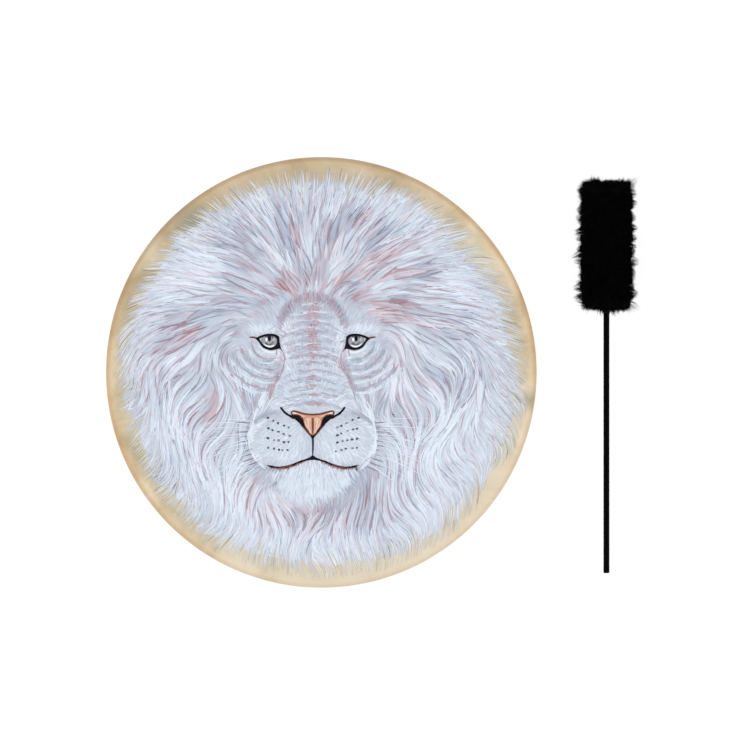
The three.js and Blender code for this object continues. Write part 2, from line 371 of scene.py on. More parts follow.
def hump(value, middle, width):
    """1 where a value is at its middle, falling off smoothly over a width to either side."""
    return np.exp(-(((value - middle) / width) ** 2))


def value_noise(x, y, seed, period=64):
    """Smooth noise from 0 to 1 over unit cells, repeating along x after period cells."""
    table = np.random.default_rng(seed).random((64, 64))
    column, row = np.floor(x).astype(int), np.floor(y).astype(int)
    across, up = smoothstep(0, 1, x - column), smoothstep(0, 1, y - row)

    def corner(i, j):
        return table[(column + i) % period % 64, (row + j) % 64]

    low = corner(0, 0) * (1 - across) + corner(1, 0) * across
    high = corner(0, 1) * (1 - across) + corner(1, 1) * across
    return low * (1 - up) + high * up


# ---------------------------------------------------------------- the painting's layout

# Places on the face, in head radii: x from the face's axis, y from the drum's centre.
FACE_AXIS = -0.04
MANE_CENTRE_Y = 0.2
NOSE_TOP = -0.185
MOUTH = -0.39
EYE = np.array([0.2015, 0.146])
MANE_EDGE = 0.915

# The face's plain lightness, from 0 to 1, and how far its lights and shadows are drawn apart.
FACE_LIGHT = 0.71
FACE_CONTRAST = 1.3

# Soft lights and shadows on both sides of the face: strength, centre, half width and half height.
FACE_LIGHTS = (
    (0.22, (0.12, -0.15), 0.06, 0.03),
    (0.16, (0.225, 0.088), 0.06, 0.024),
    (0.3, (0.165, 0.08), 0.014, 0.03),
    (-0.3, (0.215, 0.048), 0.05, 0.012),
    (-0.25, (0.3, 0.075), 0.03, 0.02),
    (0.36, (0.235, 0.2), 0.1, 0.018),
    (0.08, (0.12, -0.4), 0.1, 0.03),
    (-0.4, (0.17, -0.51), 0.055, 0.05),
)


def dome_distance(x, y):
    """1 on the outline of the brow's dome, less inside and more outside."""
    return np.hypot(x / 0.15, np.maximum(y - 0.16, 0) / 0.185)


def face_share(x, y):
    """1 on the short fur of the face, 0 on the mane."""
    lower = np.hypot(x / 0.31, (y + 0.22) / 0.36)
    upper = np.hypot(x / 0.33, (y - 0.12) / 0.23)
    return 1 - smoothstep(0.9, 1.15, np.minimum(lower, upper))


def from_centre(x, y):
    """Distance from the drum's centre of a place given from the face's axis."""
    return np.hypot(x + FACE_AXIS, y)


def hair_angle(x, y):
    """Direction of the hair at a place: out from the brow, drooping more the nearer it is to level."""
    dy = y - MANE_CENTRE_Y
    distance = np.hypot(x, dy)
    side = np.sign(x + 1e-9)
    from_top = np.abs(np.arctan2(x, dy))
    below = hump(from_top, math.radians(125), math.radians(22))
    low = smoothstep(math.radians(80), math.radians(115), from_top)
    stray = value_noise(from_top * 3 + 5 * side + 20, 0 * x, 13) - 0.5
    phase = TAU * (distance - 0.45) / 0.36 + 3.2 * stray
    droop = 23 * np.sin(from_top) * (0.4 + distance)
    droop += 30 * below * np.clip(1.8 - 1.2 * distance, 0.3, 1.5)
    droop += 27 * np.cos(phase) * low
    wave = (value_noise(7 * x + 30, 7 * y + 30, 11) - 0.5) * (0.4 + 0.6 * low)
    mane = np.arctan2(dy, x) - side * np.radians(droop) + wave
    muzzle = np.arctan2(y - NOSE_TOP, x)
    cheek = np.arctan2(-0.26 - y, side * 0.27 - x)
    on_cheek = smoothstep(0.13, 0.2, np.abs(x)) * smoothstep(0.13, 0.05, y) * smoothstep(-0.24, -0.16, y)
    short = np.exp(1j * muzzle) * (1 - on_cheek) + np.exp(1j * cheek) * on_cheek
    face = face_share(x, y)
    return np.angle(np.exp(1j * mane) * (1 - face) + short * face)


def wrinkles():
    """Level, half width and depth of each crease across the brow and the bridge, top one first."""
    for n in range(13):
        depth = 0.86 - 0.03 * n + 0.2 * math.cos(2.1 * n)
        yield 0.302 - 0.0368 * n, min(0.05 + 0.04 * n, 0.1 + 0.0025 * n), depth


def crease_level(level, x):
    """Height of a crease at x: its ends hang lower than its middle."""
    return level - 1.6 * x * x


def face_tone(x, y):
    """Lightness and redness of the face's fur."""
    ax = np.abs(x)
    dome = dome_distance(x, y)
    rim = hump(dome, 1.04, 0.11) * smoothstep(0.16, 0.28, y)
    inside = (1 - smoothstep(0.7, 0.98, dome)) * smoothstep(0, 0.1, y)
    flank = hump(ax, 0.125, 0.022) * smoothstep(0, 0.06, y) * smoothstep(0.3, 0.22, y)
    midline = hump(ax, 0, 0.02) * smoothstep(0.04, 0.12, y) * smoothstep(0.36, 0.3, y)
    midline = midline * (0.55 + 0.9 * value_noise(30 * x + 9, 26 * y + 40, 6))
    half_bridge = 0.137 + 0.095 * smoothstep(0.1, -0.17, y)
    edge = hump(ax, half_bridge, 0.013) * smoothstep(-0.2, -0.13, y) * smoothstep(0.12, 0.06, y)
    beside = hump(ax, half_bridge - 0.035, 0.02) * smoothstep(-0.2, -0.1, y) * smoothstep(0.1, 0.04, y)
    bridge = (1 - smoothstep(0.1, 0.16, ax)) * smoothstep(-0.2, -0.12, y) * smoothstep(0.12, 0.02, y)
    pad = np.hypot((ax - 0.14) / 0.145, (y + 0.32) / 0.115)
    chin = np.hypot(x / 0.17, (y + 0.5) / 0.13)
    light = 0.02 * inside + 0.2 * flank + 0.08 * beside + 0.12 * bridge
    light -= 0.5 * rim + 0.48 * midline + 0.2 * edge
    light += 0.14 * (1 - smoothstep(0.6, 1, pad)) + 0.34 * hump(pad, 1, 0.07) * smoothstep(0.18, 0.26, ax)
    light -= 0.3 * hump(pad, 1.2, 0.11) * smoothstep(0.12, 0.22, ax)
    light += 0.18 * (1 - smoothstep(0.7, 1, chin)) * smoothstep(MOUTH, MOUTH - 0.05, y)
    red = 0.2 + 0.5 * rim + 0.1 * inside + 0.7 * midline + 0.35 * edge
    red -= 0.25 * (1 - smoothstep(0.7, 1.1, pad))
    for level, half, depth in wrinkles():
        crease = hump(y, crease_level(level, x), 0.009) * (1 - smoothstep(0.6 * half, 1.2 * half, ax))
        light -= 0.17 * depth * crease
        red += 0.15 * depth * crease
    for strength, centre, width, height in FACE_LIGHTS:
        light += strength * hump(ax, centre[0], width) * hump(y, centre[1], height)
    return FACE_LIGHT + FACE_CONTRAST * light, red


def mane_tone(x, y):
    """Lightness and redness of the mane, in broad shapes that follow the locks."""
    dy = y - MANE_CENTRE_Y
    distance = np.hypot(x, dy)
    angle = (np.arctan2(dy, x) + 0.5 * np.sign(x + 1e-9) * distance) / TAU
    broad = value_noise(angle * 24, distance * 5 + 3, 21, 24)
    fine = value_noise(angle * 60, distance * 7 + 9, 22, 60)
    streak = smoothstep(0.55, 0.85, value_noise(angle * 62, distance * 5 + 17, 23, 62))
    root = 1 - smoothstep(0.02, 0.2, distance - 0.25)
    under_chin = hump(x, 0, 0.2) * hump(y, -0.66, 0.06)
    crown = smoothstep(0.24, 0.34, y)
    shade = crown * (hump(distance, 0.25, 0.03) + 0.8 * hump(distance, 0.46, 0.05))
    light = 0.705 + 0.2 * (broad - 0.5) + 0.5 * (fine - 0.5) - 0.02 * root - 0.2 * under_chin - 0.15 * shade
    light += 0.06 * smoothstep(0.5, 0.85, distance) + 0.13 * smoothstep(-0.66, -0.85, y)
    light += 0.1 * crown * hump(distance, 0.35, 0.04)
    red = 0.24 + 0.5 * streak * (1 - 0.6 * smoothstep(0.4, 0.85, distance))
    red += 0.12 * root + 0.45 * under_chin + 0.12 * shade
    return light, red


def tone(x, y):
    """Lightness and redness of the painting at a place."""
    face = face_share(x, y)
    light, red = (f * face + m * (1 - face) for f, m in zip(face_tone(x, y), mane_tone(x, y)))
    return light, np.clip(red, 0, 1)


def mane_edge(x, y):
    """Distance from the drum's centre at which the paint ends, at a place's angle."""
    angle = np.arctan2(y, x + FACE_AXIS)
    ragged = value_noise(angle / TAU * 48 + 48, np.zeros_like(angle), 31, 48) - 0.5
    top = 0.02 * np.clip(np.sin(angle), 0, 1)
    bottom = 0.03 * np.clip(-np.sin(angle + math.radians(20)), 0, 1)
    return MANE_EDGE - 0.018 * np.cos(angle - math.radians(20)) - top - bottom + 0.06 * ragged


def room_left(x, y):
    """How far a place is inside the paint's edge."""
    return mane_edge(x, y) - from_centre(x, y)


# ---------------------------------------------------------------- paint

TINT_LEVELS = 9
TINT_FAMILIES = {
    "cool": ((140, 153, 176), (231, 242, 253)),
    "lilac": ((146, 137, 156), (228, 231, 244)),
    "rose": ((166, 126, 132), (228, 217, 226)),
}
INKS = {
    "ink_black": (16, 14, 20),
    "ink_brown": (98, 52, 42),
    "ink_grey": (84, 84, 94),
    "dot_grey": (88, 90, 110),
    "iris_dark": (100, 102, 108),
    "iris_grey": (160, 162, 168),
    "iris_light": (202, 201, 208),
    "paint_white": (246, 248, 252),
    "ice_white": (232, 240, 250),
    "nose_line": (98, 60, 50),
    "nose_dark": (152, 96, 74),
    "nose_orange": (206, 156, 128),
    "nose_light": (228, 193, 172),
    "nose_pale": (248, 222, 204),
    "wisp_khaki": (206, 200, 176),
    "wisp_cream": (222, 220, 208),
    "shadow_khaki": (158, 146, 116),
}


def blend_colours(dark, light, share):
    return tuple(d + (c - d) * share for d, c in zip(dark, light))


def paint(name, colour, roughness):
    """One tint of the painter's acrylics. It is plain, as a brush stroke is: the strokes vary it."""
    made = Finish(name, colour, roughness, 0.08)
    return made.dress(None, noise(made.place(), 900, 2), 0.15, 0.5)


def make_palette():
    """Every paint by name, in the order in which the strokes' meshes list them."""
    palette = {}
    for family, (dark, light) in TINT_FAMILIES.items():
        for level in range(TINT_LEVELS):
            name = f"{family}_{level}"
            palette[name] = paint(name, blend_colours(dark, light, level / (TINT_LEVELS - 1)), 0.5)
    for name, colour in INKS.items():
        palette[name] = paint(name, colour, 0.4)
    return palette


PALETTE = make_palette()
PAINT_ORDER = list(PALETTE)


def tint_numbers(light, red, random):
    """Indices into the palette for strokes of the given lightness and redness."""
    level = np.rint(np.clip(light, 0, 1) * (TINT_LEVELS - 1)).astype(int)
    pick = red + random.normal(0, 0.22, len(light))
    family = np.where(pick > 0.72, 2, np.where(pick > 0.36, 1, 0))
    return family * TINT_LEVELS + level


class Strokes:
    """Brush strokes: tapered ribbons of paint, each a closed body with its keel in the hide."""

    STATIONS = 7
    KEEL = -0.15 * MM

    def __init__(self):
        self.batches = []

    def add(self, paths, widths, heights, tints):
        """paths is strokes x stations x 2 in head radii; widths at the widest and heights in mm."""
        rest = [np.broadcast_to(values, len(paths)) for values in (widths, heights, tints)]
        self.batches.append([np.asarray(paths, float), *rest])

    def brush(self, random, paths, light, red, width, height):
        """Strokes of a lightness and redness, each with a width and height from the given ranges."""
        tints = tint_numbers(light, red, random)
        widths = random.uniform(*width, len(paths))
        self.add(paths, widths, random.uniform(*height, len(paths)), tints)

    def line(self, points, width, height, ink, side=1):
        """One stroke through a few points, or through their mirror images when side is -1."""
        points = np.asarray(points, float) * (side, 1)
        at = np.linspace(0, len(points) - 1, self.STATIONS)
        path = np.stack([np.interp(at, np.arange(len(points)), points[:, i]) for i in (0, 1)], 1)
        self.add([path], width, height, PAINT_ORDER.index(ink))

    def curve(self, points, width, height, ink, side=1):
        self.line(smooth_path(points, 0.01), width, height, ink, side)

    def mesh(self, name):
        paths, widths, heights, tints = (np.concatenate(part) for part in zip(*self.batches))
        count, stations, _ = paths.shape
        place = (paths + (FACE_AXIS, 0)) * HEAD_RADIUS
        normal = normals_of(place)
        profile = np.sin(np.pi * np.linspace(0, 1, stations) ** 0.75) ** 0.8
        half = (widths[:, None] * MM * profile / 2)[..., None]
        tops = np.broadcast_to(heights[:, None, None] * MM, (count, stations, 1))
        keels = np.full((count, stations, 1), self.KEEL)
        rows = [
            np.concatenate([edge, z], 2)[:, 1:-1]
            for edge, z in ((place + normal * half, tops), (place - normal * half, tops), (place, keels))
        ]
        ends = np.concatenate([place[:, [0, -1]], tops[:, [0, -1]] * 0.5], 2)
        vertices = np.concatenate([np.stack(rows, 2).reshape(count, -1, 3), ends], 1)
        faces = self.faces(stations - 2)
        triangles = repeat_faces(faces, vertices.shape[1], count)
        return triangle_mesh(name, vertices.reshape(-1, 3), triangles, np.repeat(tints, len(faces)))

    @staticmethod
    def faces(inner):
        """Triangles of one stroke with inner full stations of three corners and a point at each end."""
        first, last = 3 * inner, 3 * inner + 1
        made = []
        for i in range(3):
            j = (i + 1) % 3
            for s in range(0, 3 * inner - 3, 3):
                made += [(s + i, s + j + 3, s + j), (s + i, s + i + 3, s + j + 3)]
            made += [(first, i, j), (last, last - 4 + j, last - 4 + i)]
        return made


def normals_of(paths):
    """Unit vectors square to each path at each of its points."""
    along = np.gradient(paths, axis=1)
    along /= np.linalg.norm(along, axis=2, keepdims=True) + 1e-12
    return np.stack([-along[..., 1], along[..., 0]], 2)


def add_painted(name, layer):
    add_piece(name, layer.mesh(name), PALETTE.values(), "drum")


def scattered(random, spacing, across, up):
    """Places on a grid between two limits each way, each moved at random within its cell."""
    x, y = (g.ravel() for g in np.meshgrid(np.arange(*across, spacing), np.arange(*up, spacing)))
    x = x + random.uniform(-0.5, 0.5, len(x)) * spacing
    y = y + random.uniform(-0.5, 0.5, len(y)) * spacing
    return x, y


def spines(x, y, lengths, stations=Strokes.STATIONS):
    """Paths that follow the hair from each start."""
    place = np.stack([x, y], 1)
    step = (lengths / (stations - 1))[:, None]
    made = [place]
    for _ in range(stations - 1):
        angle = hair_angle(*place.T)
        place = place + step * np.stack([np.cos(angle), np.sin(angle)], 1)
        made.append(place)
    return np.stack(made, 1)


def underfur():
    """Broad soft strokes that cover the first coat evenly before the locks are painted."""
    random = np.random.default_rng(5)
    strokes = Strokes()
    x, y = scattered(random, 0.0215, (-1, 1), (-1, 1))
    room = room_left(x, y)
    keep = (room > 0.03) & (face_share(x, y) < 0.9)
    x, y, room = x[keep], y[keep], room[keep]
    paths = spines(x, y, np.minimum(random.uniform(0.08, 0.14, len(x)), room + 0.01))
    light, red = tone(*paths[:, 3].T)
    light = light - 0.02 + random.normal(0, 0.05, len(x))
    strokes.brush(random, paths, light, red, (1.8, 2.8), (0.02, 0.04))
    return strokes


# The mane, in head radii: from one ring of roots round the brow to the next, and from root to root
# on a ring. Then the points on a lock's middle line and the pieces that the locks are shared out to.
RING_STEP = 0.045
ROOT_SPACING = 0.052
LOCK_STATIONS = 13
MANE_PIECES = 3

# Strokes of one lock: the plain ones come first, then the shadows along its edges, then the lights
# down its middle.
PLAIN_STROKES = 9
SHADOW_STROKES = 4
LIGHT_STROKES = 4


def lock_starts(random):
    """Roots of the mane's locks on rings round the brow, outermost first, with each ring's rank."""
    starts, ranks = [], []
    radii = np.arange(1, 0.14, -RING_STEP)
    for rank, radius in enumerate(radii):
        count = int(TAU * radius / ROOT_SPACING)
        angle = (np.arange(count) + random.random(count)) * TAU / count
        spread = radius + random.uniform(-0.035, 0.035, count)
        starts.append(np.stack([spread * np.cos(angle), MANE_CENTRE_Y + spread * np.sin(angle)]))
        ranks.append(np.full(count, rank / (len(radii) - 1)))
    return *np.concatenate(starts, 1), np.concatenate(ranks)


def lock_paths(random, x, y, room, crown):
    """Each lock's middle line, of a random length that the room to the paint's edge limits."""
    lengths = random.uniform(0.18, 0.36, len(x)) * (1 + 0.35 * smoothstep(0.1, -0.3, y))
    return spines(x, y, np.minimum(lengths, room * 1.2 + 0.01) * (1 - 0.4 * crown), LOCK_STATIONS)


def stroke_spans(random, offset):
    """Where a stroke's stations lie along its lock, as shares of it: outer strokes are shorter."""
    begin = random.uniform(0, 0.26, len(offset))
    end = begin + random.uniform(0.45, 0.7, len(offset)) * (1 - 0.2 * np.abs(offset))
    return begin[:, None] + (np.minimum(end, 1) - begin)[:, None] * np.linspace(0, 1, Strokes.STATIONS)


def mane_strokes():
    """The mane as locks of strokes that start wide, follow the hair and close to a tip."""
    random = np.random.default_rng(7)
    x, y, ranks = lock_starts(random)
    room = room_left(x, y)
    keep = (room > 0.03) & (face_share(x, y) < 0.85)
    x, y, ranks, room = x[keep], y[keep], ranks[keep], room[keep]
    count = len(x)
    crown = smoothstep(0.6, 0.25, np.hypot(x, y - MANE_CENTRE_Y)) * smoothstep(0.1, 0.25, y)
    paths = lock_paths(random, x, y, room, crown)
    normal = normals_of(paths)
    half_width = random.uniform(0.015, 0.03, count) * (1 - 0.25 * crown)
    light, red = tone(*paths[:, 4].T)
    light = light + random.normal(0, 0.12, count)
    curl = random.normal(0, 0.024, count)
    slimness = (1 - 0.35 * smoothstep(0.12, 0.02, room)) * (1 - 0.3 * crown)
    layers = [Strokes() for _ in range(MANE_PIECES)]
    layer = np.minimum((ranks * MANE_PIECES).astype(int), MANE_PIECES - 1)
    for n in range(PLAIN_STROKES + SHADOW_STROKES + LIGHT_STROKES):
        bright = n >= PLAIN_STROKES + SHADOW_STROKES
        shadow = n >= PLAIN_STROKES and not bright
        if shadow:
            offset = random.uniform(0.75, 1.1, count) * random.choice((-1, 1), count)
        else:
            offset = random.uniform(-1, 1, count) * (0.6 if bright else 1)
        at = stroke_spans(random, offset)
        closing = 1 - 0.78 * smoothstep(0.1, 1, at)
        reach = offset[:, None] * half_width[:, None] * closing + curl[:, None] * at**2
        where = at * (LOCK_STATIONS - 1)
        path = sample_rows(paths, where) + sample_rows(normal, where) * reach[..., None]
        middle = 1 - np.abs(offset)
        stroke_light = light - 0.01 + 0.14 * (middle - 0.5) + random.normal(0, 0.02, count)
        stroke_red = red - 0.1 * middle
        if shadow:
            stroke_light = stroke_light - random.uniform(0.16, 0.48, count)
            stroke_red = stroke_red + random.uniform(-0.1, 0.55, count)
        if bright:
            stroke_light = stroke_light + random.uniform(0.06, 0.22, count)
        width = random.uniform(0.8, 1.5, count) * (0.8 if shadow or bright else 1) * slimness
        height = 0.05 + 0.22 * ranks + 0.0075 * n + 0.004 * random.random(count)
        tints = tint_numbers(stroke_light, stroke_red, random)
        for number, group in enumerate(layers):
            group.add(*(values[layer == number] for values in (path, width, height, tints)))
    return layers


def sample_rows(rows, where):
    """Each row's points read between its stations."""
    low = np.clip(np.floor(where).astype(int), 0, rows.shape[1] - 2)
    share = (where - low)[..., None]
    index = np.arange(len(rows))[:, None]
    return rows[index, low] * (1 - share) + rows[index, low + 1] * share


def rim_wisps():
    """Fine hairs whose tips reach past the paint's edge on to the bare hide, paler further in."""
    random = np.random.default_rng(19)
    strokes = Strokes()
    count = 5600
    angle = random.uniform(0, TAU, count)
    x, y = np.cos(angle), np.sin(angle)
    start = mane_edge(x, y) - random.uniform(-0.01, 0.16, count)
    paths = spines(start * x - FACE_AXIS, start * y, random.uniform(0.05, 0.15, count))
    reach = from_centre(*paths[:, -1].T)
    fade = smoothstep(0.9, 0.965, reach + random.normal(0, 0.02, count))
    light = random.normal(0.8, 0.11, count) + 0.1 * np.clip(-y, 0, 1)
    tints = tint_numbers(light, random.uniform(0, 0.5, count), random)
    pick = random.random(count)
    for limit, ink in ((0.55, "wisp_cream"), (0.2, "wisp_khaki"), (0.05, "shadow_khaki")):
        tints = np.where(pick < limit * fade, PAINT_ORDER.index(ink), tints)
    width = random.uniform(0.4, 0.8, count)
    height = random.uniform(0.25, 0.3, count)
    strokes.add(*(values[reach < 0.972] for values in (paths, width, height, tints)))
    return strokes


def face_strokes():
    """Short fur on the face, coloured by the face's own lights and shadows, and the hairs laid on it."""
    random = np.random.default_rng(17)
    strokes, details = Strokes(), Strokes()
    x, y = scattered(random, 0.0112, (-0.42, 0.42), (-0.66, 0.42))
    keep = face_share(x, y) > 0.12
    x, y = x[keep], y[keep]
    paths = spines(x, y, random.uniform(0.026, 0.046, len(x)) * (1 + 0.8 * smoothstep(-0.42, -0.55, y)))
    light, red = tone(*paths[:, 2].T)
    light = light + random.normal(0, 0.035, len(x))
    strokes.brush(random, paths, light, red, (0.9, 1.5), (0.26, 0.38))
    for add_hairs in (add_wrinkles, add_brow_blush, add_cheek_streaks, add_eye_folds):
        add_hairs(details, random)
    return strokes, details


def bowed_paths(x, y, angle, lengths, bow):
    """Paths centred on places, at an angle, bowed to one side by a share of their length."""
    share = np.linspace(-0.5, 0.5, Strokes.STATIONS)
    along = share * lengths[:, None]
    aside = (0.25 - share**2) * (bow * lengths)[:, None]
    x, y, cos, sin = (values[:, None] for values in (x, y, np.cos(angle), np.sin(angle)))
    return np.stack([x + along * cos - aside * sin, y + along * sin + aside * cos], 2)


def add_wrinkles(strokes, random):
    """Level creases across the brow and the bridge, redder at the midline, with pale hairs above each."""
    for level, half, depth in wrinkles():
        count = int(62 * depth * half / 0.1)
        x = random.normal(0, 0.55, count) * half
        y = crease_level(level, x) + random.normal(0, 0.006, count)
        paths = bowed_paths(x, y, -3.2 * x, random.uniform(0.03, 0.06, count), 0.06)
        centred = hump(x, 0, 0.035)
        light = random.normal(0.48, 0.08, count) - 0.08 * centred
        strokes.brush(random, paths, light, 0.3 + 0.4 * centred, (0.8, 1.6), (0.33, 0.4))
        pale = count // 2
        x = random.uniform(-1, 1, pale) * half
        y = crease_level(level + 0.015, x) + random.normal(0, 0.005, pale)
        paths = bowed_paths(x, y, -3.2 * x, random.uniform(0.025, 0.05, pale), 0.06)
        strokes.brush(random, paths, random.normal(0.82, 0.05, pale), 0.05, (0.7, 1.1), (0.33, 0.4))


def add_brow_blush(strokes, random):
    """Rosy hairs down the brow's midline and along the arch at its top."""
    count = 190
    x, y = random.normal(0, 0.015, count), random.uniform(0.1, 0.34, count)
    lengths = random.uniform(0.015, 0.04, count)
    paths = bowed_paths(x, y, np.radians(90) + random.normal(0, 0.5, count), lengths, 0.08)
    strokes.brush(random, paths, random.normal(0.52, 0.12, count), 0.7, (0.6, 1.1), (0.36, 0.41))
    count = 170
    turn = random.normal(0, 0.75, count)
    reach = 1.03 + random.normal(0, 0.05, count)
    x, y = 0.15 * reach * np.sin(turn), 0.16 + 0.185 * reach * np.cos(turn)
    paths = bowed_paths(x, y, np.arctan2(y - 0.1, x), random.uniform(0.02, 0.045, count), 0.05)
    light, red = random.normal(0.42, 0.12, count), random.uniform(0.3, 1, count)
    strokes.brush(random, paths, light, red, (0.6, 1), (0.36, 0.41))


def add_cheek_streaks(strokes, random):
    """Long dark and light hairs that run down the cheeks, outside the folds under the eyes."""
    count = 520
    side = random.choice((-1, 1), count)
    x, y = random.uniform(0.15, 0.36, count), random.uniform(-0.14, 0.09, count)
    lengths = random.uniform(0.05, 0.13, count)
    keep = np.hypot(x - EYE[0], y - EYE[1]) > 0.21
    side, x, y, lengths = side[keep], x[keep], y[keep], lengths[keep]
    count = len(x)
    paths = spines(side * x, y, lengths)
    dark = value_noise(x * 42 + 6 * y, y * 5 + 20, 5) > 0.52
    light = np.where(dark, random.normal(0.42, 0.09, count), random.normal(0.84, 0.06, count))
    red = np.where(dark, random.uniform(0.1, 0.7, count), 0.05)
    strokes.brush(random, paths, light, red, (0.7, 1.2), (0.36, 0.42))


def add_eye_folds(strokes, random):
    """Rows of dark hairs that curve round under each eye, with a pale row outside each."""
    for row, reach in enumerate((0.083, 0.13, 0.172, 0.22)):
        for gap, light, red in ((0, 0.35 + 0.03 * row, 0.46), (0.021, 0.86, 0.05)):
            count = 44 + 16 * row
            side = random.choice((-1, 1), count)
            turn = np.radians(random.uniform(-100 + 4 * row, -12 - 6 * row, count))
            radius = reach + gap + random.normal(0, 0.0036, count)
            x = side * (EYE[0] + radius * np.cos(turn))
            y = EYE[1] + radius * np.sin(turn)
            along = np.arctan2(np.cos(turn), -side * np.sin(turn))
            paths = bowed_paths(x, y, along, random.uniform(0.03, 0.055, count), -0.25 * side)
            strokes.brush(random, paths, random.normal(light, 0.07, count), red, (0.7, 1.2), (0.39, 0.425))


# ---------------------------------------------------------------- the drawn features

class Patches:
    """Flat areas of paint with crisp outlines, each a closed slab with its foot in the hide."""

    FOOT = -0.1 * MM

    def __init__(self):
        self.vertices, self.faces, self.inks = [], [], []

    def add(self, outline, height, ink, side=1):
        """outline runs round once, in head radii; side -1 mirrors it. The height is in mm."""
        place = (np.asarray(outline, float) * (side, 1) + (FACE_AXIS, 0)) * HEAD_RADIUS
        if np.cross(place, np.roll(place, -1, 0)).sum() < 0:
            place = place[::-1]
        first, count = len(self.vertices), len(place)
        for z in (self.FOOT, height * MM):
            self.vertices += [(x, y, z) for x, y in place]
        self.faces += tube_faces(2, count, first=first)
        self.inks += [PAINT_ORDER.index(ink)] * (count + 2)

    def blob(self, points, height, ink, side=1):
        """A smooth closed shape through a few points."""
        self.add(between([*points, points[0]]), height, ink, side)

    def mesh(self, name):
        mesh = mesh_from(name, self.vertices, self.faces, smooth=False)
        mesh.polygons.foreach_set("material_index", self.inks)
        return mesh


def between(*edges):
    """A closed outline from smooth edges that meet at their ends."""
    return np.concatenate([smooth_path(edge, 0.004)[:-1] for edge in edges])


def disc(centre, radius, squeeze=1.0, count=40):
    angle = np.arange(count) * TAU / count
    return np.stack([np.cos(angle) * radius, np.sin(angle) * radius * squeeze], 1) + centre


def inset(outline, distance):
    """An outline moved inwards by a distance."""
    outline = np.asarray(outline, float)
    along = np.roll(outline, -1, 0) - np.roll(outline, 1, 0)
    along /= np.linalg.norm(along, axis=1, keepdims=True) + 1e-12
    turn = 1 if np.cross(outline, np.roll(outline, -1, 0)).sum() > 0 else -1
    return outline + np.stack([-along[:, 1], along[:, 0]], 1) * turn * distance


def mirrored(points):
    return [(-x, y) for x, y in points]


def draw_eye(patches, lines, side):
    """One eye; every outline is given for the side with x above 0."""
    outer, top_inner, nose_side, tear = (0.268, 0.1585), (0.1555, 0.166), (0.1535, 0.14), (0.138, 0.094)
    lid_top = [outer, (0.24, 0.1715), (0.205, 0.1795), (0.172, 0.1765), top_inner]
    lid_low = [
        tear, (0.153, 0.1095), (0.168, 0.107), (0.1955, 0.103), (0.229, 0.1145), (0.2535, 0.1445), outer,
    ]
    lid_inner = [top_inner, nose_side, (0.1475, 0.114), tear]
    open_outer, open_inner = (0.248, 0.1565), (0.1655, 0.153)
    open_top = [open_outer, (0.225, 0.166), (0.2, 0.1695), (0.178, 0.1655), open_inner]
    open_low = [
        open_inner, (0.1655, 0.137), (0.177, 0.122), (0.198, 0.1155), (0.222, 0.123), (0.239, 0.1405),
        open_outer,
    ]
    patches.add(between(lid_top, lid_inner, lid_low), 0.44, "ink_black", side)
    patches.add(between(open_top, open_low), 0.47, "iris_light", side)
    upper_lid = [lid_top, lid_inner[:2], [nose_side, open_inner], open_top[::-1], [open_outer, outer]]
    lower_lid = [[open_inner, nose_side], lid_inner[1:], lid_low, [outer, open_outer], open_low[::-1]]
    for lid in (upper_lid, lower_lid):
        patches.add(between(*lid), 0.62, "ink_black", side)
    draw_eyeball(patches, lines, EYE * (side, 1), side)
    draw_eye_edges(lines, side)


def draw_eyeball(patches, lines, centre, side):
    """The iris, clipped so that it stays under the lids, with its spokes, pupil and two glints."""
    inner, outer, bottom, top = 0.158, 0.243, 0.118, 0.172
    for radius, ink, height in ((0.0375, "iris_dark", 0.49), (0.035, "iris_grey", 0.51)):
        x, y = disc(centre, radius).T
        x, y = side * np.clip(side * x, inner, outer), np.clip(y, bottom, top)
        patches.add(np.stack([x, y], 1), height, ink)
    draw_iris(lines, centre)
    for shift, radius, ink, height, squeeze in (
        ((0, 0.011), 0.0085, "ink_black", 0.56, 1.5),
        ((-0.0135, 0.0065), 0.0058, "paint_white", 0.58, 1.5),
        ((0.0195, 0.007), 0.0045, "iris_light", 0.58, 1.2),
    ):
        patches.add(disc(centre + shift, radius, squeeze), height, ink)


def draw_eye_edges(lines, side):
    """The pale rims along the lower lid, the strokes from the outer corner and the inner one's folds."""
    white_rim = [(0.171, 0.134), (0.181, 0.1245), (0.199, 0.1195), (0.219, 0.1255), (0.234, 0.14)]
    lines.curve(white_rim, 1.7, 0.6, "paint_white", side)
    glow_low = [(0.158, 0.102), (0.172, 0.0955), (0.198, 0.0925), (0.229, 0.1035), (0.258, 0.135)]
    lines.curve(glow_low, 2.6, 0.43, "cool_8", side)
    for shift, height, ink in ((0, 0.42, "ink_brown"), (0.003, 0.39, "rose_1")):
        corner = [(0.258, 0.1575 + shift), (0.276, 0.162 + shift), (0.298, 0.163 + shift)]
        lines.curve(corner, 1.5, height, ink, side)
    lines.line([(0.166, 0.106), (0.168, 0.09), (0.172, 0.073)], 1.5, 0.45, "rose_3", side)
    lines.curve([(0.138, 0.097), (0.131, 0.075), (0.131, 0.05), (0.137, 0.025)], 1.4, 0.42, "rose_3", side)


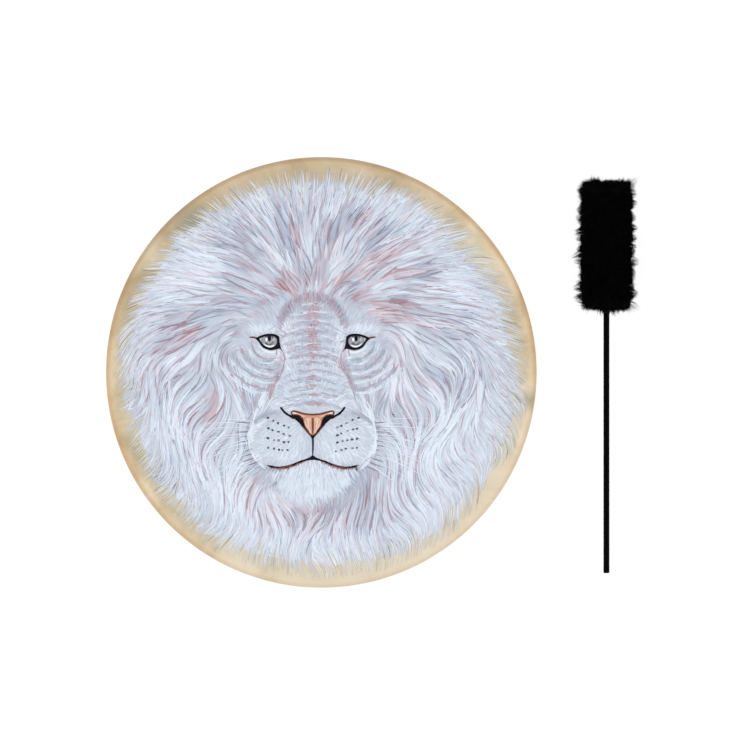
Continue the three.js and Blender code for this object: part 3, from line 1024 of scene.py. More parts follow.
def draw_iris(lines, centre):
    """Short spokes of grey round the pupil, darker at the bottom and in the lid's shadow."""
    random = np.random.default_rng(53)
    for turn in angles_round(46):
        angle = turn + random.normal(0, 0.05)
        low, high = random.uniform(0.01, 0.015), random.uniform(0.022, 0.031)
        out = np.array([math.cos(angle), math.sin(angle)])
        start, end = centre + out * low, centre + out * high
        if max(start[1], end[1]) > 0.166:
            continue
        dark = random.random() < 0.45 - 0.3 * math.sin(angle)
        ink = "iris_dark" if dark else random.choice(("iris_light", "iris_grey", "lilac_3"))
        lines.line([start, end], random.uniform(0.5, 0.8), 0.54, ink)
    shade = [centre + (-0.028, 0.0185), centre + (0, 0.0205), centre + (0.028, 0.0185)]
    lines.curve(shade, 1.6, 0.55, "ink_grey")


def draw_nose(patches, lines):
    top = [(0, -0.1925), (0.035, -0.1895), (0.072, -0.1795), (0.092, -0.1765), (0.1025, -0.1855)]
    low = [(0.1025, -0.1855), (0.095, -0.2065), (0.06, -0.236), (0.03, -0.27), (0, -0.308)]
    outline = between(top, low, mirrored(low)[::-1], mirrored(top)[::-1])
    layers = ((0, "nose_line", 0.46), (0.0062, "nose_dark", 0.475), (0.0085, "nose_orange", 0.49))
    for shrink, ink, height in layers:
        patches.add(inset(outline, shrink), height, ink)
    for side in (1, -1):
        draw_nose_half(patches, lines, side)
    lines.line([(0, -0.196), (0.0005, -0.25), (0, -0.3)], 2.6, 0.54, "nose_dark")
    lines.line([(0, -0.198), (0.0005, -0.25), (0, -0.302)], 0.9, 0.56, "ink_brown")
    patches.add([(-0.011, -0.293), (0.011, -0.293), (0.001, -0.318), (-0.001, -0.318)], 0.58, "ink_black")
    lines.line([(0, -0.275), (0.001, -0.34), (0, -0.41)], 1.9, 0.57, "ink_black")


def draw_nose_half(patches, lines, side):
    """The lights, nostril and wing on one side of the nose."""
    patches.blob([
        (0.03, -0.2045), (0.06, -0.1955), (0.082, -0.1855), (0.0925, -0.184), (0.0955, -0.189),
        (0.086, -0.1945), (0.062, -0.2015), (0.045, -0.2065),
    ], 0.52, "nose_light", side)
    bright = [(0.068, -0.193), (0.082, -0.187), (0.0925, -0.1855), (0.093, -0.189), (0.082, -0.1935)]
    patches.blob(bright, 0.53, "nose_pale", side)
    patches.blob([
        (0.009, -0.212), (0.026, -0.2115), (0.036, -0.224), (0.032, -0.248), (0.02, -0.27), (0.0085, -0.286),
    ], 0.52, "nose_light", side)
    grain = ((0.03, -0.246, "nose_orange"), (0.022, -0.262, "nose_pale"), (0.014, -0.276, "nose_orange"))
    for x, low, ink in grain:
        lines.line([(x, -0.218), (x * 0.95, (low - 0.218) / 2), (x * 0.6, low)], 1, 0.55, ink, side)
    patches.blob([
        (0.0935, -0.1975), (0.078, -0.1985), (0.06, -0.2045), (0.046, -0.2195), (0.0385, -0.2395),
        (0.0355, -0.258), (0.05, -0.2475), (0.068, -0.2305), (0.086, -0.2145), (0.1, -0.2035),
    ], 0.55, "ink_black", side)
    over = [(0.0975, -0.195), (0.078, -0.1955), (0.059, -0.2015), (0.045, -0.2155), (0.036, -0.2375)]
    lines.curve(over, 1.2, 0.56, "nose_line", side)
    patches.blob([
        (0.09, -0.2015), (0.106, -0.1965), (0.124, -0.1845), (0.139, -0.1685), (0.1445, -0.161),
        (0.1505, -0.1605), (0.1515, -0.166), (0.1445, -0.176), (0.13, -0.1925), (0.108, -0.2065),
        (0.088, -0.2165),
    ], 0.56, "ink_black", side)
    under = [(0.06, -0.24), (0.04, -0.2585), (0.022, -0.281), (-0.001, -0.309)]
    lines.curve(under, 1.5, 0.56, "nose_line", side)


def draw_mouth(patches, lines):
    rise = [(0.085, -0.4255), (0.045, -0.4065), (0.015, -0.395), (0, -0.383)]
    under = [(0.085, -0.4255), (0.045, -0.414), (0, -0.4065), (-0.045, -0.414), (-0.085, -0.4255)]
    patches.add(between(mirrored(rise), rise[::-1], under), 0.5, "ink_black")
    random = np.random.default_rng(47)
    lip = [(0.02, -0.401), (0.05, -0.41), (0.1, -0.4315), (0.15, -0.441), (0.19, -0.4375), (0.215, -0.431)]
    for side in (1, -1):
        path = np.array(smooth_path(lip, 0.01)) * (side, 1)
        for drop, width, height, ink in (
            (0, 1.8, 0.5, "ink_black"), (0.0045, 1.6, 0.49, "ink_brown"), (0.0085, 1.6, 0.48, "rose_1"),
        ):
            lines.line(path - (0, drop), width, height, ink)
        for ink, first, last in (("nose_line", 0.3, 0.75), ("ink_black", 0.72, 0.98)):
            lines.line(path[int(first * len(path)):int(last * len(path)) + 1], 2, 0.53, ink)
        for _ in range(26):
            start = path[random.integers(len(path) // 8, len(path) - 2)]
            reach = random.uniform(0.012, 0.03)
            lean = np.array([side * random.uniform(0.1, 0.5), -1])
            lines.line([start, start + lean * reach], 0.8, 0.5, "lilac_2")


WHISKER_ROWS = 4
WHISKER_DOTS = 5


def draw_whiskers(lines):
    """Rows of dots on each pad, short dark hairs outside it, and long white whiskers over both."""
    random = np.random.default_rng(41)
    for side in (1, -1):
        for row in range(WHISKER_ROWS):
            inner = np.array([0.108, -0.258 - 0.035 * row])
            outer = np.array([0.205, -0.213 - 0.046 * row])
            for n in range(WHISKER_DOTS):
                place = inner + (outer - inner) * (n + 0.3 * random.random()) / (WHISKER_DOTS - 1)
                place = place + random.normal(0, 0.002, 2)
                tilt = np.array([1, 0.42 - 0.1 * row]) * random.uniform(0.008, 0.017) / 2
                ink = random.choice(("ink_grey", "dot_grey", "lilac_0"), p=(0.4, 0.4, 0.2))
                lines.line([place - tilt, place + tilt], random.uniform(1.7, 2.9), 0.47, ink, side)
        for drop in np.linspace(0, 1, 11):
            start = np.array([0.28 - 0.035 * drop**3, -0.235 - 0.2 * drop])
            lean = np.array([1, 0.05 - 0.45 * drop])
            end = start + lean / np.linalg.norm(lean) * random.uniform(0.05, 0.09)
            lines.line([start, end], random.uniform(0.9, 1.4), 0.43, "lilac_0", side)
        for drop in np.linspace(0, 1, 15):
            start = np.array([0.27 + 0.03 * random.random() - 0.05 * drop**3, -0.23 - 0.19 * drop])
            reach = random.uniform(0.14, 0.34)
            slope = 0.22 - 0.72 * drop + random.normal(0, 0.05)
            path = [start + np.array([t, slope * t - 0.18 * t * t]) * reach for t in np.linspace(0, 1, 7)]
            lines.line(path, random.uniform(0.6, 0.9), 0.6, "cool_8", side)


def draw_muzzle_edge(lines):
    """White strokes round the outside of the muzzle, and the rosy fold between bridge and cheek."""
    random = np.random.default_rng(59)
    fold = [(0.131, 0.055), (0.141, 0.02), (0.16, -0.02), (0.182, -0.065), (0.203, -0.13)]
    edge = [
        (0.206, -0.078), (0.243, -0.14), (0.28, -0.232), (0.294, -0.3), (0.282, -0.365), (0.252, -0.415),
        (0.215, -0.45),
    ]
    for side in (1, -1):
        for curve, count, spread, reach, inks in (
            (fold, 30, 0.005, 4, ("rose_2", "rose_4", "lilac_2", "lilac_3")),
            (edge, 70, 0.007, 5, ("cool_8", "ice_white", "cool_7")),
        ):
            path = np.array(smooth_path(curve, 0.01)) * (side, 1)
            for _ in range(count):
                first = random.integers(0, len(path) - reach)
                part = path[first:first + reach + 1] + random.normal(0, spread, 2)
                height = random.uniform(0.43, 0.48)
                lines.line(part, random.uniform(0.7, 1.3), height, random.choice(inks))


def draw_chin(strokes):
    """A fan of white strokes that hangs from the lower lip, each laid over the ones below it."""
    random = np.random.default_rng(43)
    count = 420
    across = random.uniform(-1, 1, count)
    down = random.random(count) ** 0.8
    x = 0.215 * across * (1 - 0.35 * down)
    y = -0.415 - 0.02 * np.abs(across) - 0.13 * down * (1 - 0.5 * across**2)
    spread = np.radians(-90) + np.radians(34) * across + random.normal(0, 0.12, count)
    reach = random.uniform(0.035, 0.075, count)
    x, y = x + reach / 2 * np.cos(spread), y + reach / 2 * np.sin(spread)
    paths = bowed_paths(x, y, spread, reach, 0)
    light = random.normal(0.86, 0.06, count) - 0.2 * (np.abs(across) > 0.9)
    tints = tint_numbers(light, random.uniform(-0.5, 0.25, count), random)
    height = np.empty(count)
    height[np.argsort(down)[::-1]] = np.linspace(0.36, 0.46, count)
    strokes.add(paths, random.uniform(0.9, 1.5, count), height, tints)


def add_painting():
    mane = mane_strokes()
    face, details = face_strokes()
    draw_chin(details)
    patches, lines = Patches(), Strokes()
    for side in (1, -1):
        draw_eye(patches, lines, side)
    draw_nose(patches, lines)
    draw_mouth(patches, lines)
    draw_muzzle_edge(lines)
    draw_whiskers(lines)
    add_painted("paint_underfur", underfur())
    add_painted("paint_rim_wisps", rim_wisps())
    for number, layer in enumerate(mane):
        add_painted(f"paint_mane_{number}", layer)
    add_painted("paint_face_fur", face)
    add_painted("paint_face_details", details)
    add_painted("paint_features", lines)
    add_painted("paint_eyes_nose_mouth", patches)


# ---------------------------------------------------------------- the hide

HEAD_CELLS = 200
HOLE_SIDES = 24

# The first coat's dark and pale colours, where it is cool and where it is rosy.
WASHES = (((172, 178, 196), (222, 231, 243)), ((168, 140, 150), (222, 214, 225)))


def disc_grid(cells, radius):
    """A square grid pressed into a disc so that its cells stay even; also its rim, in order round."""
    across = np.linspace(-1, 1, cells + 1)
    a, b = np.meshgrid(across, across, indexing="ij")
    wide = np.abs(a) >= np.abs(b)
    reach = np.where(wide, a, b)
    ratio = np.where(wide, b, a) / np.where(reach == 0, 1, reach)
    turn = np.where(wide, math.pi / 4 * ratio, math.pi / 2 - math.pi / 4 * ratio)
    x, y = radius * reach * np.cos(turn), radius * reach * np.sin(turn)
    index = np.arange((cells + 1) ** 2).reshape(cells + 1, cells + 1)
    quads = np.stack([index[:-1, :-1], index[1:, :-1], index[1:, 1:], index[:-1, 1:]], -1).reshape(-1, 4)
    rim = np.concatenate([index[:-1, 0], index[-1, :-1], index[:0:-1, -1], index[0, :0:-1]])
    return np.stack([x.ravel(), y.ravel()], 1), quads, rim


def side_profile():
    """Radius and height down the outside of the hide and back up its inside."""
    shoulder, heel = HEAD_RADIUS - SHOULDER, HEAD_RADIUS - HEEL
    edge, edge_z = FLANGE_START - FLANGE_WIDTH, BACK_Z + SKIN / 2 + FLANGE_RISE
    lean, lift = SKIN / 2 * math.sin(FLANGE_SLOPE), SKIN / 2 * math.cos(FLANGE_SLOPE)
    return [
        *arc_points((shoulder, -SHOULDER), SHOULDER, 90, 0, 10)[1:],
        *line_points((HEAD_RADIUS, -SHOULDER), (HEAD_RADIUS, BACK_Z + HEEL), 11)[1:],
        *arc_points((heel, BACK_Z + HEEL), HEEL, 0, -90, 6)[1:],
        *line_points((FLANGE_START, BACK_Z), (edge - lean, edge_z - lift), 7),
        *line_points((edge + lean, edge_z + lift), (FLANGE_START, BACK_Z + SKIN), 7),
        *arc_points((heel, BACK_Z + HEEL), HEEL - SKIN, -90, 0, 6),
        *arc_points((shoulder, -SHOULDER), SHOULDER - SKIN, 0, 90, 10),
    ]


def line_points(start, end, steps):
    return np.linspace(start, end, steps + 1).tolist()


def lace_hole_place(angle):
    """Middle of a lace hole, and the direction square to the flange there."""
    height = BACK_Z + SKIN / 2 + (FLANGE_START - LACE_CIRCLE) * math.tan(FLANGE_SLOPE)
    outward = math.sin(FLANGE_SLOPE)
    place = Vector((LACE_CIRCLE * math.cos(angle), LACE_CIRCLE * math.sin(angle), height))
    normal = Vector((outward * math.cos(angle), outward * math.sin(angle), math.cos(FLANGE_SLOPE)))
    return place, normal


def pleats(radius, height, angle):
    """How far the hide puckers at a place on its side, heel and flange, pulled by the lacing."""
    low = smoothstep(-0.35, -0.95, height / -BACK_Z)
    inward = smoothstep(HEAD_RADIUS - HEEL, FLANGE_START, radius)
    folds = np.abs(np.sin(angle / HOLE_STEP * math.pi + 0.8 * np.sin(3 * angle)))
    fine = np.sin(61 * angle + 2 * np.sin(5 * angle))
    return -low * (1 - inward) * (0.55 * (1 - folds) + 0.12 * (fine + 1)) * MM


def add_hide():
    flat, quads, rim = disc_grid(HEAD_CELLS, HEAD_RADIUS - SHOULDER)
    sides, profile = len(rim), side_profile()
    angle = np.arctan2(flat[rim, 1], flat[rim, 0])
    layers = [np.column_stack([flat, np.zeros(len(flat))])]
    for radius, height in profile:
        out = radius + pleats(radius, height, angle)
        layers.append(np.column_stack([out * np.cos(angle), out * np.sin(angle), np.full(sides, height)]))
    vertices = np.concatenate([*layers, [(0, 0, -SKIN)]])
    rows = [rim, *(len(flat) + np.arange(len(profile) * sides).reshape(-1, sides))]
    faces = quads.tolist()
    for upper, lower in zip(rows, rows[1:]):
        faces += np.stack([upper, lower, np.roll(lower, -1), np.roll(upper, -1)], 1).tolist()
    centre = np.full(sides, len(vertices) - 1)
    faces += np.stack([rows[-1], centre, np.roll(rows[-1], -1)], 1).tolist()
    mesh = cut_lace_holes(mesh_from("hide", vertices, faces))
    colour_wash(mesh)
    add_piece("hide", mesh, [hide_material()], "drum", ["drumhead_skin"])


def cut_lace_holes(mesh):
    """The mesh with the lace holes punched through its flange."""
    vertices, faces = [], []
    for n in range(HOLE_COUNT):
        place, normal = lace_hole_place((n + 0.5) * HOLE_STEP)
        across = normal.orthogonal().normalized()
        along = normal.cross(across)
        faces += tube_faces(2, HOLE_SIDES, first=len(vertices))
        for depth in (-3 * SKIN, 3 * SKIN):
            for turn in angles_round(HOLE_SIDES):
                rim = across * math.cos(turn) + along * math.sin(turn)
                vertices.append(place + normal * depth + rim * LACE_HOLE)
    cutter = put_in_scene("cutter", mesh_from("cutter", vertices, faces, smooth=False))
    target = put_in_scene("target", mesh)
    cut = target.modifiers.new("cut", "BOOLEAN")
    cut.object = cutter
    cut.operation = "DIFFERENCE"
    cut.solver = "EXACT"
    bpy.context.view_layer.update()
    done = bpy.data.meshes.new_from_object(target.evaluated_get(bpy.context.evaluated_depsgraph_get()))
    for item in (cutter, target):
        bpy.data.objects.remove(item)
    return done


def colour_wash(mesh):
    """Gives each point the colour of the first coat under the strokes, and how well it covers."""
    places = np.array([vertex.co for vertex in mesh.vertices])
    x, y = places[:, 0] / HEAD_RADIUS - FACE_AXIS, places[:, 1] / HEAD_RADIUS
    light, red = tone(x, y)
    share, lean = np.clip(light, 0, 1)[:, None], 0.6 * red[:, None]
    cool, rose = (
        np.array(linear(dark)) * (1 - share) + np.array(linear(pale)) * share for dark, pale in WASHES
    )
    cover = smoothstep(-0.015, 0.085, room_left(x, y)) * (places[:, 2] > -SKIN / 2)
    coat = np.column_stack([cool * (1 - lean) + rose * lean, cover])
    layer = mesh.attributes.new("wash", "FLOAT_COLOR", "POINT")
    layer.data.foreach_set("color", coat.astype(np.float32).ravel())


def hide_material():
    """Scraped goatskin: amber at the rim, paler and clouded inside, under the painter's first coat, with
    painted shade just inside the rim.
    """
    made = Finish("painted_goatskin", (216, 196, 158), 0.5)
    place = made.place()
    clouds = noise(place, 13, 6, 0.62, 0.6)
    fine = noise(place, 60, 4, 0.6)
    grain = noise(place, 420, 3, 0.6)
    x, y, z, radius = split(place)
    reach = radius / HEAD_RADIUS
    wander = (clouds - 0.5) * 0.1
    inner = ramp(clouds, (0.34, (178, 166, 132)), (0.5, (208, 195, 164)), (0.66, (228, 219, 198)))
    outer = ramp(clouds, (0.34, (196, 158, 108)), (0.5, (224, 199, 158)), (0.66, (238, 220, 188)))
    base = mix(ramp(reach + wander, (0.93, 0), (0.99, 0.9)), inner, outer)
    # The hide turns paler towards the lower right of the head and darker towards its upper left.
    low = (x * 0.35 - y) / HEAD_RADIUS
    high = low * -1
    pale = ramp(low + wander * 4, (0.35, 0), (0.95, 0.75))
    base = mix(pale, base, (233, 221, 198))
    base = mix(ramp(high, (0.3, 0), (0.95, 0.4)), base, (170, 144, 106))
    base = mix(fine * 0.16, base, (176, 148, 108))
    for centre, sharpness in (((-0.137, 0.16, 0), 26), ((0.2225, -0.03, 0), 34)):
        away = add_node(made.tree, "VectorMath", [place, centre], operation="DISTANCE")
        stain = ramp(away * sharpness + clouds * 0.7, (0.35, 0.75), (1, 0))
        base = mix(stain, base, (128, 134, 116))
    # Painted shade: a darker line just inside the rim, where the hide turns over its shoulder, browner
    # towards the upper left.
    rim_shade_line = ramp(reach - z * -3, (0.976, 0), (0.988, 0.4), (1, 0.3))
    rim_shade_colour = ramp(high, (0.2, (196, 148, 92)), (0.9, (140, 110, 76)))
    base = mix(rim_shade_line * (1 - pale), base, rim_shade_colour)
    coat, cover = (
        add_node(made.tree, "Attribute", [], output, attribute_name="wash") for output in ("Color", "Alpha")
    )
    colour = mix(cover, base, mix(grain * 0.25, coat, (150, 140, 160)))
    return made.dress(colour, fine + grain * 0.4, 0.3, 0.5, ramp(fine, (0.3, 0.42), (0.7, 0.62)))


# ---------------------------------------------------------------- hoop, lacing and handle

# Each ply is bent round in this many steps. Its ends taper over a scarf and stop short of each other.
HOOP_STEPS = 240
SCARF = 26 * MM
SEAM = 5.4 * MM

# The handle's leather strips, and a strip's section: across it from -1 to 1, and up in its thicknesses.
STRIP_TURNS = 9
STEPS_PER_TURN = 28
STRIP_THICKNESS = 1.5 * MM
STRIP_SECTION = ((-1, -0.2), (-0.55, 0.34), (0, 0.5), (0.55, 0.42), (1, 0.3), (0.6, -0.5), (-0.5, -0.5))


def wood_material(name, seed):
    """Steam-bent ash, its grain running round the hoop."""
    made = Finish(name, (200, 160, 108), 0.45)
    x, y, z, radius = split(made.place())
    turn = calculate("ARCTAN2", y, x)
    bent = add_node(made.tree, "CombineXYZ", [turn * 1.5, z * 120, radius * 120 + seed])
    grain = noise(bent, 2.2, 6, 0.65, 0.5)
    pores = noise(scaled(bent, (3, 9, 9)), 4, 3, 0.6)
    colour = ramp(grain, (0.3, (150, 104, 60)), (0.48, (196, 152, 98)), (0.7, (222, 184, 132)))
    colour = mix(ramp(pores, (0.56, 0), (0.68, 0.55)), colour, (112, 74, 42))
    return made.dress(colour, grain + pores, 0.2, 0.4, ramp(pores, (0.3, 0.38), (0.7, 0.6)))


def ply_profile(index):
    """Radius and height round one ply's section."""
    outer = HEAD_RADIUS - SKIN - GAP - index * (PLY_THICKNESS + GAP)
    inner = outer - PLY_THICKNESS
    top, bottom = -SKIN - GAP, BACK_Z + SKIN + GAP
    if index == 0:
        return [
            (inner, bottom), (outer - 1.5 * MM, bottom), (outer, bottom + 1.5 * MM),
            *arc_points((outer - 3 * MM, -SHOULDER), 3 * MM, 0, 78, 6), (inner, top),
        ]
    bevel = PLY_THICKNESS if index == len(PLIES) - 1 else 0
    soft = 0.3 * MM
    return [
        (inner + soft, bottom), (outer - soft, bottom), (outer, bottom + soft), (outer, top - soft),
        (outer - soft, top), (inner + soft, top - bevel), (inner, top - bevel - soft),
        (inner, bottom + soft),
    ]


def add_hoop():
    """Each ply is a strip bent round until its tapered ends nearly meet."""
    open_angle = SEAM / HEAD_RADIUS
    for index, name in enumerate(PLIES):
        profile = ply_profile(index)
        middle = sum(radius for radius, _ in profile) / len(profile)
        begin = math.pi / 4 + index * TAU / len(PLIES) + open_angle / 2
        vertices = []
        for share in np.linspace(0, 1, HOOP_STEPS + 1):
            for radius, height in profile:
                taper = (radius - middle) / PLY_THICKNESS * SCARF / HEAD_RADIUS
                angle = begin + taper + (TAU - open_angle) * share
                vertices.append((radius * math.cos(angle), radius * math.sin(angle), height))
        mesh = mesh_from(f"ply_{name}", vertices, tube_faces(HOOP_STEPS + 1, len(profile)))
        mesh.set_sharp_from_angle(angle=math.radians(28))
        wood = wood_material(f"ash_{name}", 7 * index)
        add_piece(f"ply_{name}", mesh, [wood], "drum", [f"hoop_ply_{name}"])


def leg_points(angle, bundle_end, sideways):
    """One leg of a lace from below its hole to the bundle's end."""
    hole, normal = lace_hole_place(angle)
    tangent = Vector((-math.sin(angle), math.cos(angle), 0)) * sideways
    inward = bundle_end - hole
    inward.z = 0
    inward.normalize()
    below = SKIN / 2 + LACE_RADIUS + GAP
    over = hole + inward * 2.6 * MM
    over.z = hole.z + 4.2 * MM
    clear = hole + inward * 8 * MM
    clear.z = BACK_Z + SKIN / 2 + FLANGE_RISE + 3 * MM
    return [
        hole - normal * below + tangent * 2.4 * MM,
        hole - normal * 0.7 * below + tangent * 0.5 * MM,
        hole + normal * MM,
        over,
        clear,
        bundle_end - inward * 3 * MM,
        bundle_end,
    ]


def half_lace(side):
    """Half of the lace along +X: a knot's hole, in to the ring, round it and back out to the next hole."""
    def bundle_point(x, level):
        return Vector((x, side * BUNDLE_OFFSET, RING_Z + level * BUNDLE_OFFSET))

    reach = RING_WIRE + LACE_RADIUS + GAP
    turn = [
        Vector((RING_RADIUS + reach * math.cos(a), side * BUNDLE_OFFSET, RING_Z + reach * math.sin(a)))
        for a in np.radians(np.arange(70, 291, 27.5))
    ]
    upper = leg_points(side * 1.5 * HOLE_STEP, bundle_point(BUNDLE_END, 1), 0)
    lower = leg_points(side * 0.5 * HOLE_STEP, bundle_point(BUNDLE_END, -1), -side)
    return [*upper, bundle_point(BUNDLE_START, 1), *turn, bundle_point(BUNDLE_START, -1), *reversed(lower)]


def lace_knot(side):
    """A thong's end wound on itself into a small stopper knot under its hole."""
    hole, normal = lace_hole_place(side * 1.5 * HOLE_STEP)
    centre = hole - normal * (SKIN / 2 + 2.4 * MM)
    across = normal.orthogonal().normalized()
    along = normal.cross(across)
    points = []
    for t in np.linspace(0, TAU, 64):
        out = (1.45 + 0.55 * math.cos(3 * t)) * MM
        flat = across * out * math.cos(2 * t) + along * out * math.sin(2 * t)
        points.append(centre + flat + normal * 0.75 * MM * math.sin(3 * t))
    return points


def turned_to_arm(points, index):
    """Points of the arm along +X, turned round the drum to one of the arms."""
    spin = Quaternion((0, 0, 1), index * TAU / len(ARMS))
    return [spin @ Vector(p) for p in points]


def rawhide_material():
    """Cut rawhide thong: amber and honey, clouded, with darker grit."""
    made = Finish("rawhide_thong", (206, 168, 112), 0.5)
    clouds = noise(made.place(), 70, 5, 0.6)
    grit = noise(made.place(), 900, 3, 0.6)
    colour = ramp(clouds, (0.3, (158, 112, 62)), (0.5, (206, 164, 106)), (0.7, (230, 200, 150)))
    colour = mix(grit * 0.25, colour, (120, 84, 48))
    return made.dress(colour, clouds + grit, 0.3, 0.5, ramp(clouds, (0.3, 0.35), (0.7, 0.6)))


def add_laces():
    """Each arm's lace: a knot, in to the ring and back twice over, and the other knot."""
    material = rawhide_material()
    path = smooth_path([*half_lace(1), *reversed(half_lace(-1))], 1.6 * MM)
    knots = {"a": lace_knot(1), "b": lace_knot(-1)}
    for index, name in enumerate(ARMS):
        def section(share, index=index):
            along = share * len(path)
            thin = 0.74 + 0.1 * math.sin(0.13 * along + index)
            return LACE_RADIUS * (0.98 - 0.04 * math.sin(0.31 * along)), LACE_RADIUS * thin, 0.11 * along

        mesh = sweep(f"thong_{name}", turned_to_arm(path, index), section, 10)
        add_piece(f"thong_{name}", mesh, [material], "drum", [f"lace_{name}"])
        for end, knot in knots.items():
            points = turned_to_arm(knot, index)
            mesh = sweep(f"knot_{name}_{end}", points, lambda s: (0.85 * MM, 0.7 * MM, 6 * s), 8)
            add_piece(f"knot_{name}_{end}", mesh, [material], "drum")


def leather_material():
    made = Finish("handle_leather", (96, 60, 36), 0.6)
    grain = noise(made.place(), 260, 5, 0.65)
    wear = noise(made.place(), 40, 3, 0.5)
    colour = ramp(grain, (0.3, (62, 36, 20)), (0.55, (104, 66, 40)), (0.75, (136, 92, 58)))
    colour = mix(ramp(wear, (0.5, 0), (0.75, 0.4)), colour, (160, 116, 76))
    return made.dress(colour, grain, 0.4, 0.7, ramp(grain, (0.3, 0.45), (0.7, 0.75)))


def add_wraps():
    """Each arm of the handle: a strip of leather wound round the four legs of its lace."""
    material = leather_material()
    start, end = BUNDLE_START + 3 * MM, BUNDLE_END - 5 * MM
    half = (end - start) / STRIP_TURNS * 0.62
    middle = WRAP_RADIUS - 0.9 * MM
    count = STRIP_TURNS * STEPS_PER_TURN + 1
    vertices = []
    for share in np.linspace(0, 1, count):
        angle = TAU * STRIP_TURNS * share
        narrowed = half * (0.35 + 0.65 * min(1, 8 * share, 8 * (1 - share)))
        for across, depth in STRIP_SECTION:
            x = start + half + (end - start - 2 * half) * share + across * narrowed
            out = middle + depth * STRIP_THICKNESS + 0.25 * MM * across
            vertices.append((x, out * math.cos(angle), RING_Z + out * math.sin(angle)))
    faces = tube_faces(count, len(STRIP_SECTION))
    for index, name in enumerate(ARMS):
        mesh = mesh_from(f"wound_leather_{name}", turned_to_arm(vertices, index), faces)
        replaced = [f"handle_wrap_{name}"]
        add_piece(f"wound_leather_{name}", mesh, [material], "drum", replaced)


def steel_material():
    made = Finish("welded_steel", (178, 180, 184), 0.3)
    made.inputs["Metallic"].default_value = 1
    scuffs = noise(made.place((1, 1, 6)), 90, 5, 0.65)
    colour = ramp(scuffs, (0.3, (150, 150, 152)), (0.7, (200, 202, 206)))
    return made.dress(colour, scuffs, 0.1, 0.3, ramp(scuffs, (0.3, 0.2), (0.7, 0.42)))


def add_ring():
    """A ring bent from round bar, a little swollen where it was welded."""
    points = [(RING_RADIUS * math.cos(a), RING_RADIUS * math.sin(a), RING_Z) for a in angles_round(160)]
    weld = 0.35

    def section(share):
        swell = 0.05 * hump(share, weld, 0.012) * (1 + 0.4 * math.sin(900 * share))
        return RING_WIRE * (0.985 + swell), RING_WIRE * (0.985 + swell), 0

    mesh = sweep("welded_ring", points, section, 24, closed=True)
    add_piece("welded_ring", mesh, [steel_material()], "drum", ["handle_ring"])


# ---------------------------------------------------------------- the beater

rod_low, rod_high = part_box("beater_rod")
cover_low, cover_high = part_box("beater_fur_cover")
BEATER_X = (rod_low.x + rod_high.x) / 2
ROD_RADIUS = (rod_high.x - rod_low.x) / 2
ROD_LENGTH = 405 * MM
COVER_RADIUS = (cover_high.x - cover_low.x) / 2
COVER_START = 283 * MM
COVER_LENGTH = 134 * MM
COVER_CORNER = 9 * MM
NECK_START = COVER_START - 7 * MM
NECK_RADIUS = 3.5 * MM

# The beater lies on its rod's foot and on its cover's shoulder.
BEATER_TILT = math.atan2(COVER_RADIUS - ROD_RADIUS, COVER_START + COVER_CORNER)
BEATER_TURN = Quaternion((1, 0, 0), BEATER_TILT)
BEATER_FOOT = Vector((
    BEATER_X, rod_low.y + ROD_RADIUS * math.sin(BEATER_TILT), BACK_Z + ROD_RADIUS * math.cos(BEATER_TILT),
))

# The undercoat fills the sleeve to this depth under the CAD cover's surface, with these ends.
COAT_DEPTH = 3 * MM
COAT_RADIUS = COVER_RADIUS - COAT_DEPTH
COAT_CORNER = 0.4 * COVER_CORNER
COAT_START = COVER_START + COAT_DEPTH / 2
COAT_END = COVER_START + COVER_LENGTH - COAT_DEPTH

# Layers of fur: name, hairs, shortest and longest in millimetres, and half a hair's width.
FUR_LAYERS = (("fur_short", 12000, 2.8, 5, 0.4), ("fur_long", 19000, 4, 9.5, 0.18))
FUR_TINTS = ((1, 1, 2), (5, 5, 6), (12, 12, 15))
FUR_TINT_SHARES = (0.55, 0.33, 0.12)
TUFTS = 260
ROOT_DEPTH = MM

BINDING_TURNS = 6
THREAD_RADIUS = 0.32 * MM


def beater_place(x, along, z):
    """A point of the beater, given beside its axis and along it, in the drum's frame."""
    return BEATER_FOOT + BEATER_TURN @ Vector((x, along, z))


def turned_beater(name, profile, sides):
    """A profile of radius and distance along the beater, turned about the beater's axis."""
    vertices = [
        beater_place(radius * math.cos(angle), along, radius * math.sin(angle))
        for radius, along in profile
        for angle in angles_round(sides)
    ]
    return mesh_from(name, vertices, tube_faces(len(profile), sides))


def rod_material():
    made = Finish("black_rod", (12, 12, 13), 0.35, 0.02)
    streaks = noise(made.place((8, 0.6, 8)), 160, 4, 0.6)
    colour = ramp(streaks, (0.3, (1, 1, 2)), (0.7, (8, 8, 9)))
    return made.dress(colour, streaks, 0.1, 0.3, ramp(streaks, (0.3, 0.32), (0.7, 0.55)))


def undercoat_material():
    made = Finish("fur_undercoat", (4, 4, 5), 0.9, 0.05)
    depth = noise(made.place(), 500, 4, 0.7)
    return made.dress(ramp(depth, (0.3, (0, 0, 0)), (0.8, (9, 9, 11))), depth, 1.5, 1)


def thread_material():
    made = Finish("waxed_thread", (16, 16, 17), 0.6, 0.15)
    fibre = noise(made.place(), 1400, 3, 0.6)
    return made.dress(ramp(fibre, (0.3, (8, 8, 9)), (0.7, (26, 26, 28))), fibre, 0.1, 0.5)


def felt_material():
    made = Finish("wool_felt", (150, 146, 138), 0.95)
    fibre = noise(made.place(), 700, 4, 0.7)
    return made.dress(ramp(fibre, (0.3, (124, 120, 112)), (0.7, (168, 164, 156))), fibre, 0.5, 0.8)


def add_rod():
    chamfer = 0.5 * MM
    rod = turned_beater("rod", [
        (ROD_RADIUS - chamfer, 0), (ROD_RADIUS, chamfer), (ROD_RADIUS, 2 * chamfer),
        (ROD_RADIUS, ROD_LENGTH),
    ], 48)
    rod.set_sharp_from_angle(angle=math.radians(30))
    add_piece("rod", rod, [rod_material()], "beater", ["beater_rod"])


